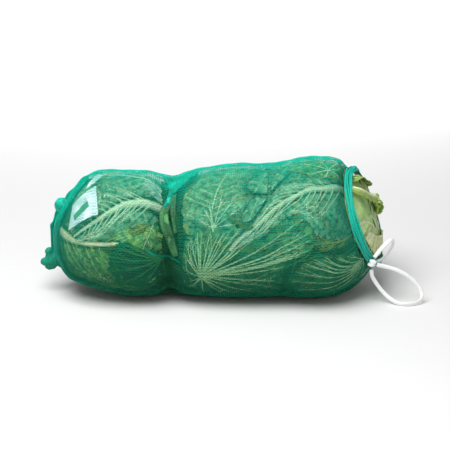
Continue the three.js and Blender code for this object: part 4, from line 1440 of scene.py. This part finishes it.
def strip_surface(path, half, depth):
    """A rounded strip that follows a path under the net; v goes round it."""

    def under_path(share, deep):
        section, degrees = np.moveaxis(along(path, share), -1, 0)
        return under_net(section, degrees, deep)

    def surface(u, v, lift):
        middle = under_path(u, depth)
        ahead = under_path(u + STRIP_STEP, depth) - under_path(u - STRIP_STEP, depth)
        out = unit(under_path(u, 0.0) - middle)
        across = unit(np.cross(ahead, out))
        turn = 2 * pi * v
        taper = np.sin(pi * mix(0.12, 0.9, u)) ** 0.5
        side = (half + lift) * taper * np.cos(turn)
        ripple = 1 + 0.18 * np.cos(turn * 6 + u * 8)
        rise = (STRIP_FLATNESS * half + lift) * taper * np.sin(turn) * ripple
        return middle + across * side[..., None] + out * rise[..., None]

    return surface


def top_gather(u, v, lift):
    """Several layers of net drawn together over the groove between the heads, under the outer net."""
    across = 2 * u - 1
    narrowing = 1 - np.abs(across) ** 1.3
    near, far = TOP_GATHER["near"] * narrowing, TOP_GATHER["far"] - TOP_GATHER["tail"] * narrowing
    degrees = mix(far, near, v)
    ripple = 0.9 * np.sin(across * 26 + 2 * np.sin(degrees * 0.08))
    section = TOP_GATHER["middle"] + TOP_GATHER["reach"] * across
    return under_net(section, degrees, TOP_GATHER["depth"] - ripple - lift)


def pressed_leaves(u, v, lift):
    """The ends of the two heads' leaves, pressed together under the drawn-in net."""
    section = mix(*PRESSED_SECTIONS, u)
    angle = 2 * pi * v
    ripple = 1.5 * np.sin(angle * 13 + 2 * np.sin(section * 4)) + 1.0 * np.sin(angle * 29 + section * 5)
    depth = PRESSED_DEPTH[0] + PRESSED_DEPTH[1] * (2 * u - 1) ** 2 + ripple - lift
    return under_net(section, np.degrees(angle), depth)


class CABBAGES_OT_waist(bpy.types.Operator):
    """The drawn-together net and the leaf strips between the first two heads."""

    bl_idname = "cabbages.waist"
    bl_label = "Waist"

    def execute(self, context):
        for name, finish, half, depth, path in WAIST_STRIPS:
            piece, u, v = laid(name, 70, 22, strip_surface(path, half, depth))
            up = np.sin(2 * pi * v)
            # Painted shadow over each strip, deeper on its inner side, and a painted highlight along its
            # outer crest
            note_leaf(piece, vein=0.3 * bump(up - 0.8, 0.2), shadow=0.38 + 0.5 * ease(0.6, -0.3, up))
            dress(closed(piece), leaf_material(finish), "net_bag")
        piece, u, v = laid("waist_leaves_pressed", 40, 220, pressed_leaves)
        # Painted shade: the pressed leaves are deep green and darkened, as the groove between the heads lies
        # in shade
        note_leaf(piece, shadow=0.4)
        dress_leaf(thicken(piece, pressed_leaves, u, v, LEAF_SHEET), "deep_green")
        backing = folded_net_material()
        for name, half, depth, path in WAIST_FOLDS:
            piece, u, v = laid(name, 80, 16, strip_surface(path, half, depth))
            dress(closed(piece), backing, "net_bag")
        piece, u, v = laid("net_waist_gather", 60, 110, top_gather)
        dress(thicken(piece, top_gather, u, v, NET_SHEET), backing, "net_bag")
        return {"FINISHED"}


# Corner ears of the net: centre and half sizes of the lobes that run together in each
EARS = {
    "upper": [
        ((-258, 0, 157), (16, 12, 15.5)), ((-252, 0, 149), (8, 9, 10)), ((-248, 0, 143), (10, 8, 10)),
    ],
    "lower": [
        ((-279, -2, 60), (15.5, 9.5, 16)), ((-292, -4, 55), (9.5, 6.2, 8)), ((-284, -2, 73), (9.5, 7.2, 9)),
        ((-284, -3, 47), (11, 6.2, 6.5)), ((-268, 0, 62), (12, 8.5, 13)),
    ],
}
EAR_SIDES, EAR_VOXEL = (40, 24), 1.4
SEAM_HEIGHT, SEAM_SCALLOP, SCALLOPS, SEAM_SECTIONS = 11.0, 3.6, 5, 5.2
SEAM_BACKING = -0.6  # the seam's sheet lies this far inside its threads
SEAM_WALES, SEAM_HALF_WIDTHS = 18, (0.4, 0.3)
END_REACH, END_REACH_TOP, END_REACH_LOW = 1.5, 4.3, 3.6  # sections that the folds cover: side, top, bottom
END_DEPTH = 2.2


def seam_surface(u, v, lift):
    """The flat seam of the closed end, which stands up from the net in a scalloped edge."""
    along_seam = (2 * u - 1) * SEAM_SECTIONS
    section, angle = np.abs(along_seam), np.where(along_seam < 0, 0.0, pi)
    low = net_point(section, angle, -3.0, False)
    away = net_point(section, angle, 4.0, False) - low
    away[..., 0] -= 3.0 * bump(section, 1.4)
    stands = (SEAM_HEIGHT + SEAM_SCALLOP * np.sin(section * SCALLOPS)) * (1 - 0.75 * section / SEAM_SECTIONS)
    turn = 2 * pi * v
    out = stands * 0.5 * (1 + np.cos(turn)) + lift * np.cos(turn)
    place = low + unit(away) * (out + 2.0)[..., None]
    place[..., 1] += (1.9 + lift) * np.sin(turn) + 1.6 * np.sin(u * 55) * (1 + np.cos(turn)) / 2
    return place


def end_folds(u, v, lift):
    """The net bunched over the closed end, just under its outer threads."""
    angle = 2 * pi * v
    reach = mix(END_REACH, END_REACH_TOP, bump(np.degrees(angle + pi) % 360 - 175, 34))
    reach = mix(reach, END_REACH_LOW, bump(np.degrees(angle) % 360 - 180, 48))
    reach = reach + 0.12 * np.sin(angle * 9) + 0.4 * np.abs(np.sin(angle * 21.5 + np.sin(angle * 5))) ** 0.7
    section = mix(0.02, reach, u)
    crease = 0.9 * np.sin(angle * 21 + 2 * np.sin(section * 3)) * ease(0, 0.3, u) * ease(1.05, 0.7, u)
    return net_point(section, angle, crease + lift - END_DEPTH, False)


class CABBAGES_OT_ears(bpy.types.Operator):
    """The corner ears of the net, and the seam and folds of its closed end."""

    bl_idname = "cabbages.ears"
    bl_label = "Closed end"

    def execute(self, context):
        finish, backing = net_material(), folded_net_material()
        for side, lobes in EARS.items():
            piece, place, normals = lump(f"net_ear_{side}", lobes, EAR_SIDES, EAR_VOXEL, 0.6, 8)
            folds = roughness_at(place * (1, 1, 0.45), 7.0, 61) + 0.5 * roughness_at(place, 3.5, 62)
            set_coordinates(piece, place + normals * (1.3 * folds)[:, None])
            smooth(piece)
            dress(piece, backing, "net_bag")
        piece, u, v = laid("net_seam_folds", 200, 14, seam_surface, SEAM_BACKING)
        dress(closed(piece), backing, "net_bag")
        piece, u, v = laid("net_end_folds", 40, 240, end_folds)
        dress(thicken(piece, end_folds, u, v, NET_SHEET), backing, "net_bag")
        thick, thin = SEAM_HALF_WIDTHS
        wales = wales_on("wales", seam_surface, SEAM_WALES, 160, thick)
        inlay = inlay_on("inlay", seam_surface, SEAM_WALES, 200, thin)
        dress(joined("net_seam_threads", [wales, inlay]), finish, "net_bag")
        return {"FINISHED"}


# ---- Hem of the mouth ----
HEM_HALF_WIDTH, HEM_CONE = 7.0, radians(35)
HEM_STRANDS = [-5.6, -2.8, 0.0, 2.8, 5.6]  # where the gathered strands of the hem run, across it
HEM_STRAND_RADIUS, HEM_BAND_HALF = 1.7, 1.6
HEM_NUBS = [-24, 168, 186]
HEM_NUB_HEIGHT, HEM_NUB_WIDTH, HEM_NUB_ACROSS = 6, 6, 9.0
HEM_GATHERS = 170
BANDS_PER_SCALE = 3.18  # bands that a wave texture has in one unit at a scale of 1
HEM_MESH_MM = 3.2


def on_hem(across, angle, stands):
    """A point of the hem: across it, round the mouth, and how far it stands off the hem's middle layer."""
    nub = 0
    for place in HEM_NUBS:
        away = (np.degrees(angle) - place + 180) % 360 - 180
        nub = nub + HEM_NUB_HEIGHT * bump(away, HEM_NUB_WIDTH)
    stands = stands + nub * ease(-1.0, 2.0, stands) * bump(across, HEM_NUB_ACROSS)
    radius = MOUTH_RADIUS - across * sin(HEM_CONE) + stands * cos(HEM_CONE)
    return mouth_point(radius, angle, across * cos(HEM_CONE) + stands * sin(HEM_CONE))


def hem_material():
    """Net gathered into rope-like strands: bright threads that slant across each, with painted shade in the
    hollows and in the mesh's openings.
    """
    made, tree = material("gathered_netting", Roughness=0.42, Specular_IOR_Level=0.35)
    tone = tuple(bpy.context.scene.cabbage_net.hem)
    slant = add(tree, "ShaderNodeMapping", {"Rotation": (0, 0, 0.012)}, {"Vector": unrolled_place(tree)})
    gathers = add(
        tree, "ShaderNodeTexWave",
        {"Scale": HEM_GATHERS / BANDS_PER_SCALE, "Distortion": 3.0, "Detail": 3.0},
        {"Vector": slant.outputs[0]}, wave_type="BANDS", bands_direction="X",
    ).outputs["Fac"]
    colour = blend_colours(tree, gathers, tinted(tone, 0.55), tone)
    # Painted shade in the openings of the mesh
    opening = ranged(tree, cell_edges(tree, object_place(tree), HEM_MESH_MM), 0.14, 0.4, 0.0, 0.75)
    colour = blend_colours(tree, opening, colour, tinted(tone, 0.3))
    # Painted shade in the hollows, kept as hollow
    colour = blend_colours(tree, kept(tree, "hollow"), colour, tinted(tone, 0.16))
    return finished(made, colour, gathers, 0.6, 0.5)


def hem_tube(name, columns, rows, shape, finish):
    """A tube round the mouth; shape gives its places across and off the hem, and how much painted shade its
    hollows get.
    """
    piece, u, v = grid(name, columns, rows)
    angle, turn = 2 * pi * u, 2 * pi * v
    across, stands, hollow = shape(angle, turn)
    set_coordinates(piece, on_hem(across, angle, stands))
    note(piece, "hollow", hollow)
    edit_all(piece, weld, face_out)
    smooth(piece)
    return dress(piece, finish, "mouth_hem")


def hem_band(angle, turn):
    """The hem's flat middle layer, under its strands."""
    up = np.sin(turn)
    # Painted shade, kept as hollow: the face under the strands is darker than the inner face
    return HEM_HALF_WIDTH * np.cos(turn), HEM_BAND_HALF * up, mix(0.25, 0.85, ease(-0.2, 0.3, up))


def hem_strand(count, middle):
    """One gathered strand that wanders a little across the hem."""

    def shape(angle, turn):
        wander = 0.8 * np.sin(3 * angle + count * 2.1) + 0.5 * np.sin(7 * angle + count)
        gather = 0.22 * np.sin(angle * HEM_GATHERS + turn + 1.5 * np.sin(angle * 11 + count))
        thick = HEM_STRAND_RADIUS * (1 + 0.18 * np.sin(5 * angle + count * 1.3)) + gather
        across = middle + wander + thick * np.cos(turn)
        # Painted shade, kept as hollow, on the underside of the strand
        return across, HEM_BAND_HALF + thick * np.sin(turn), ease(0.35, -0.5, np.sin(turn))

    return shape


class CABBAGES_OT_hem(bpy.types.Operator):
    """The gathered hem round the mouth."""

    bl_idname = "cabbages.hem"
    bl_label = "Hem"

    def execute(self, context):
        finish = hem_material()
        hem_tube("hem_band", 300, 24, hem_band, finish)
        for count, across in enumerate(HEM_STRANDS):
            hem_tube(f"hem_strand_{count + 1}", 720, 12, hem_strand(count, across), finish)
        return {"FINISHED"}


# ---- Label ----
CARD_CORNERS = [(3.2, 68), (5.33, 58), (5.15, 26), (3.5, 38)]
FOLD_CORNERS = [(4.42, 27), (5.05, 21.5), (5.5, 8), (5.15, 6)]
CARD_LIFT, CARD_THICKNESS, CARD_WAVE = 1.7, 0.6, 0.25
# Print, in the card's own square: centre, half sizes and turn; each next bar is shifted and shorter
PRINT_FIELD = ((0.44, 0.40), (0.28, 0.13), radians(16))
PRINT_BARS, BAR_GREY, BAR_TURN = 3, "#8b9aa2", radians(8)


def card(name, corners, columns, rows):
    """A card on the net between four corners, a little wavy, with a flat print side."""
    low_left, low_right, high_right, high_left = (np.array(c, float) for c in corners)

    def place(u, v, lift):
        low = mix(low_left, low_right, u[:, None])
        at = mix(low, mix(high_left, high_right, u[:, None]), v[:, None])
        wave = CARD_WAVE * np.sin(u * 9 + v * 4)
        return net_point(at[:, 0], np.radians(at[:, 1]), CARD_LIFT + wave + lift, False)

    piece, u, v = laid(name, columns, rows, place)
    return thicken(piece, place, u, v, CARD_THICKNESS, SMOOTH_CARD)


def rectangle(tree, vector, centre, half, turn):
    """A mask that is 1 inside a turned rectangle of a UV map."""
    moved = add(
        tree, "ShaderNodeMapping", {"Location": (*centre, 0), "Rotation": (0, 0, turn), "Scale": (*half, 1)},
        {"Vector": vector}, vector_type="TEXTURE",
    )
    split = add(tree, "ShaderNodeSeparateXYZ", (), {0: moved.outputs[0]})
    size = [add(tree, "ShaderNodeMath", (), {0: split.outputs[k]}, operation="ABSOLUTE") for k in (0, 1)]
    links = {k: size[k].outputs[0] for k in (0, 1)}
    most = add(tree, "ShaderNodeMath", (), links, operation="MAXIMUM").outputs[0]
    return add(tree, "ShaderNodeMath", {1: 1.0}, {0: most}, operation="LESS_THAN").outputs[0]


def card_material():
    """Coated white card with a plain green field and grey bars in place of print."""
    made, tree = material("coated_card", Roughness=0.38, IOR=1.46)
    settings = bpy.context.scene.cabbage_trim
    vector = unrolled_place(tree)
    field = rectangle(tree, vector, *PRINT_FIELD)
    colour = blend_colours(tree, field, tuple(settings.card), tuple(settings.print_green))
    for k in range(PRINT_BARS):
        centre, half = (0.66 - 0.015 * k, 0.66 + 0.075 * k), (0.14 - 0.03 * k, 0.018)
        colour = blend_colours(tree, rectangle(tree, vector, centre, half, BAR_TURN), colour, BAR_GREY)
    return finished(made, colour, clouds(tree, object_place(tree), 3), 0.1, 0.2)


def plain_card_material():
    """The same card without its print."""
    made, tree = material("plain_card", Roughness=0.4, IOR=1.46)
    tone = tuple(bpy.context.scene.cabbage_trim.card)
    return finished(made, blend_colours(tree, clouds(tree, object_place(tree), 4), tone, tinted(tone, 0.86)))


class CABBAGES_OT_label(bpy.types.Operator):
    """The card label under the net, and its folded strip."""

    bl_idname = "cabbages.label"
    bl_label = "Label"

    def execute(self, context):
        dress(card("label_print", CARD_CORNERS, 44, 36), card_material(), "label_card")
        dress(card("label_strip", FOLD_CORNERS, 14, 26), plain_card_material(), "label_fold")
        return {"FINISHED"}


# ---- Drawstring ----
TAPE_THICKNESS = 2.6
TAPE_STEPS, TAPE_SIDES = 150, 18
STITCH_MM = 1.5
KNOT_SIZE, TURN_RADII = (5.0, 4.2, 7.4), (5.0, 4.3)
KNOT_TURNS = ((20, 1.0, -2.6), (-24, 1.06, 1.2), (62, 0.95, 0.4))  # lean in degrees, size, shift
# Name, route, length in metres, node, and turn about the route in degrees by share
CORDS = (
    ("drawstring_loop_tape", LOOP_ROUTE, 0.240, "drawstring_loop", [(0, 0), (0.5, 20), (1, -10)]),
    ("drawstring_bow_tape", BOW_ROUTE, 0.107, "drawstring_bow", [(0, 0), (0.5, 40), (1, 10)]),
)


def tape_material():
    """Soft white tape, knitted in narrow ribs that run along it."""
    made, tree = material("knitted_cotton_tape", Roughness=0.85, Sheen_Weight=0.3)
    tone = tuple(bpy.context.scene.cabbage_trim.tape)
    ribs = add(
        tree, "ShaderNodeTexWave", {"Scale": 4.2, "Distortion": 0.6}, {"Vector": unrolled_place(tree)},
        wave_type="BANDS", bands_direction="Y",
    )
    links = {0: ribs.outputs["Fac"], 1: clouds(tree, object_place(tree), STITCH_MM)}
    both = add(tree, "ShaderNodeMath", (), links, operation="MULTIPLY").outputs[0]
    return finished(made, blend_colours(tree, both, tinted(tone, 0.88), tone), both, 0.6, 0.4)


def tape(name, route, width, twist):
    """A flat tape along a route in metres; twist gives its turn about the route, in degrees, by share."""
    path = np.array(route) / MM
    piece, u, v = grid(name, TAPE_STEPS, TAPE_SIDES)
    ahead = unit(along(path, u + TANGENT_STEP) - along(path, u - TANGENT_STEP))
    flat = unit(np.cross(ahead, np.array([0.0, 1.0, 0.0])))
    rise = np.cross(flat, ahead)
    shares, turns = zip(*twist)
    angle = np.radians(np.interp(u, shares, turns))[:, None]
    across = flat * np.cos(angle) + rise * np.sin(angle)
    up = np.cross(across, ahead)
    turn = 2 * pi * v
    side = np.sign(np.cos(turn)) * np.abs(np.cos(turn)) ** 0.7
    thick = np.sin(turn) * (0.8 + 0.2 * np.abs(side)) + 0.06 * np.sin(side * 14)
    cup = 0.5 * side**2
    place = along(path, u) + across * (side * width / 2)[:, None]
    place = place + up * (thick * TAPE_THICKNESS / 2 + cup)[:, None]
    place[:, 2] = np.maximum(place[:, 2], 0.3)
    set_coordinates(piece, place)
    return closed(piece)


def knot_piece(width):
    """The knot: a firm core with three turns of tape round it."""
    core, u, v = grid("core", 28, 24)
    polar, spin = pi * (0.02 + 0.96 * u), 2 * pi * v
    ball = np.stack([np.sin(polar) * np.cos(spin), np.sin(polar) * np.sin(spin), np.cos(polar)], -1)
    tilt = np.array([[cos(KNOT_TURN), 0, sin(KNOT_TURN)], [0, 1, 0], [-sin(KNOT_TURN), 0, cos(KNOT_TURN)]])
    set_coordinates(core, KNOT_CENTRE + (ball * KNOT_SIZE) @ tilt.T)
    edit_all(core, weld, bpy.ops.mesh.fill_holes, face_out)
    parts = [core]
    for lean, size, shift in KNOT_TURNS:
        ring, u, v = grid("turn", 60, 16)
        spin, turn = 2 * pi * u, 2 * pi * v
        height = sin(radians(lean)) * np.cos(spin) * TURN_RADII[0] + shift
        around = np.stack([np.cos(spin) * TURN_RADII[0], np.sin(spin) * TURN_RADII[1], height], -1)
        section = unit(around * (1, 1, 0)) * (np.sin(turn) * 1.3)[:, None]
        section = section + np.array([0, 0, 1.0]) * (np.cos(turn) * width * 0.36)[:, None]
        set_coordinates(ring, KNOT_CENTRE + (around * size + section) @ tilt.T)
        edit_all(ring, weld, face_out)
        parts.append(ring)
    return joined("drawstring_knot_turns", parts)


class CABBAGES_OT_drawstring(bpy.types.Operator):
    """The drawstring: its knot, the long loop on the floor and the short bow."""

    bl_idname = "cabbages.drawstring"
    bl_label = "Drawstring"

    def execute(self, context):
        width = context.scene.cabbage_trim.tape_width
        finish = tape_material()
        knot = knot_piece(width / MM)
        dress(knot, finish, "drawstring_knot")
        for name, route, length, node, twist in CORDS:
            piece = tape(name, route, width / MM, twist)
            dress(piece, finish, node)
            path = along(np.array(route), np.linspace(0, 1, 120))
        return {"FINISHED"}


# ---- Stage ----
CAMERA_AIM = (23.6, 0.0, 122.0)  # what the middle of the photograph shows
CAMERA_ELEVATION = radians(18)
CAMERA_DISTANCE = 2600
PICTURE_PIXELS = 450
MM_PER_PIXEL = 1.75
SENSOR = 36
FLOOR_SIZE, FLOOR_MOTTLE_MM = 24, 500
# Name, place and aim in metres, size, the setting of its power, and spread in degrees
LIGHTS = (
    ("key_light", (-0.5, -0.9, 2.1), (0, 0, 0.1), 1.6, "key_power", 180),
    ("fill_light", (0.6, -2.4, 1.0), (0, 0, 0.1), 1.4, "fill_power", 180),
    ("back_light", (0, 3.2, 2.4), (0, 3.2, 0), 2.6, "back_power", 90),
)


def floor_material():
    """Pale painted floor with a very faint mottle."""
    made, tree = material("pale_floor", Roughness=0.8)
    tone = tuple(bpy.context.scene.cabbage_stage.floor)
    mottle = clouds(tree, object_place(tree), FLOOR_MOTTLE_MM)
    return finished(made, blend_colours(tree, mottle, tone, tinted(tone, 0.985)))


def soft_light(name, place, aim, size, power, spread):
    """A square light at a place in metres that looks at its aim."""
    clear_selection()
    bpy.ops.object.light_add(type="AREA", location=place)
    light = bpy.context.object
    light.name = name
    light.data.shape, light.data.size, light.data.energy = "SQUARE", size, power
    light.data.spread = radians(spread)
    light.rotation_euler = (Vector(aim) - Vector(place)).to_track_quat("-Z", "Y").to_euler()


class CABBAGES_OT_stage(bpy.types.Operator):
    """The camera, the pale floor and the soft lights."""

    bl_idname = "cabbages.stage"
    bl_label = "Stage"

    def execute(self, context):
        settings = context.scene.cabbage_stage
        back = np.array([0.0, -cos(CAMERA_ELEVATION), sin(CAMERA_ELEVATION)])
        clear_selection()
        bpy.ops.object.camera_add(
            location=(np.array(CAMERA_AIM) + back * CAMERA_DISTANCE) * MM,
            rotation=(pi / 2 - CAMERA_ELEVATION, 0, 0),
        )
        camera = bpy.context.object
        camera.name = "camera"
        camera.data.sensor_width = SENSOR
        camera.data.lens = SENSOR * CAMERA_DISTANCE / (PICTURE_PIXELS * MM_PER_PIXEL)
        context.scene.camera = camera
        clear_selection()
        bpy.ops.mesh.primitive_plane_add(size=FLOOR_SIZE)
        floor = bpy.context.object
        floor.name = "floor"
        floor.data.materials.append(floor_material())
        for name, place, aim, size, setting, spread in LIGHTS:
            soft_light(name, place, aim, size, getattr(settings, setting), spread)
        world = bpy.data.worlds.new("room")
        context.scene.world = world
        world.use_nodes = True
        background = world.node_tree.nodes["Background"]
        background.inputs["Color"].default_value = (1, 1, 1, 1)
        background.inputs["Strength"].default_value = settings.daylight
        context.scene.view_settings.view_transform = "Standard"
        return {"FINISHED"}


class CABBAGES_PT_panel(bpy.types.Panel):
    """The pieces of the net of cabbages."""

    bl_label = "Net of cabbages"
    bl_idname = "CABBAGES_PT_panel"
    bl_space_type = "VIEW_3D"
    bl_region_type = "UI"
    bl_category = "Cabbages"

    def draw(self, context):
        for made in OPERATORS:
            self.layout.operator(made.bl_idname)
        for group in SETTINGS:
            box = self.layout.box()
            for key in SETTINGS[group].__annotations__:
                box.prop(getattr(context.scene, group), key)


SETTINGS = {
    "cabbage_net": NetSettings,
    "cabbage_heads": CabbageSettings,
    "cabbage_trim": TrimSettings,
    "cabbage_stage": StageSettings,
}
OPERATORS = (
    CABBAGES_OT_stage,
    CABBAGES_OT_drawstring,
    CABBAGES_OT_heads,
    CABBAGES_OT_leaves,
    CABBAGES_OT_crown,
    CABBAGES_OT_net,
    CABBAGES_OT_waist,
    CABBAGES_OT_ears,
    CABBAGES_OT_hem,
    CABBAGES_OT_label,
)


def register():
    for made in (*SETTINGS.values(), *OPERATORS, CABBAGES_PT_panel):
        bpy.utils.register_class(made)
    for name, group in SETTINGS.items():
        setattr(bpy.types.Scene, name, PointerProperty(type=group))


def unregister():
    for name in SETTINGS:
        delattr(bpy.types.Scene, name)
    for made in (CABBAGES_PT_panel, *reversed(OPERATORS), *SETTINGS.values()):
        bpy.utils.unregister_class(made)


def main():
    register()
    bpy.ops.object.select_all(action="DESELECT")
    for made in OPERATORS:
        family, name = made.bl_idname.split(".")
        getattr(getattr(bpy.ops, family), name)()


if __name__ == "__main__":
    main()
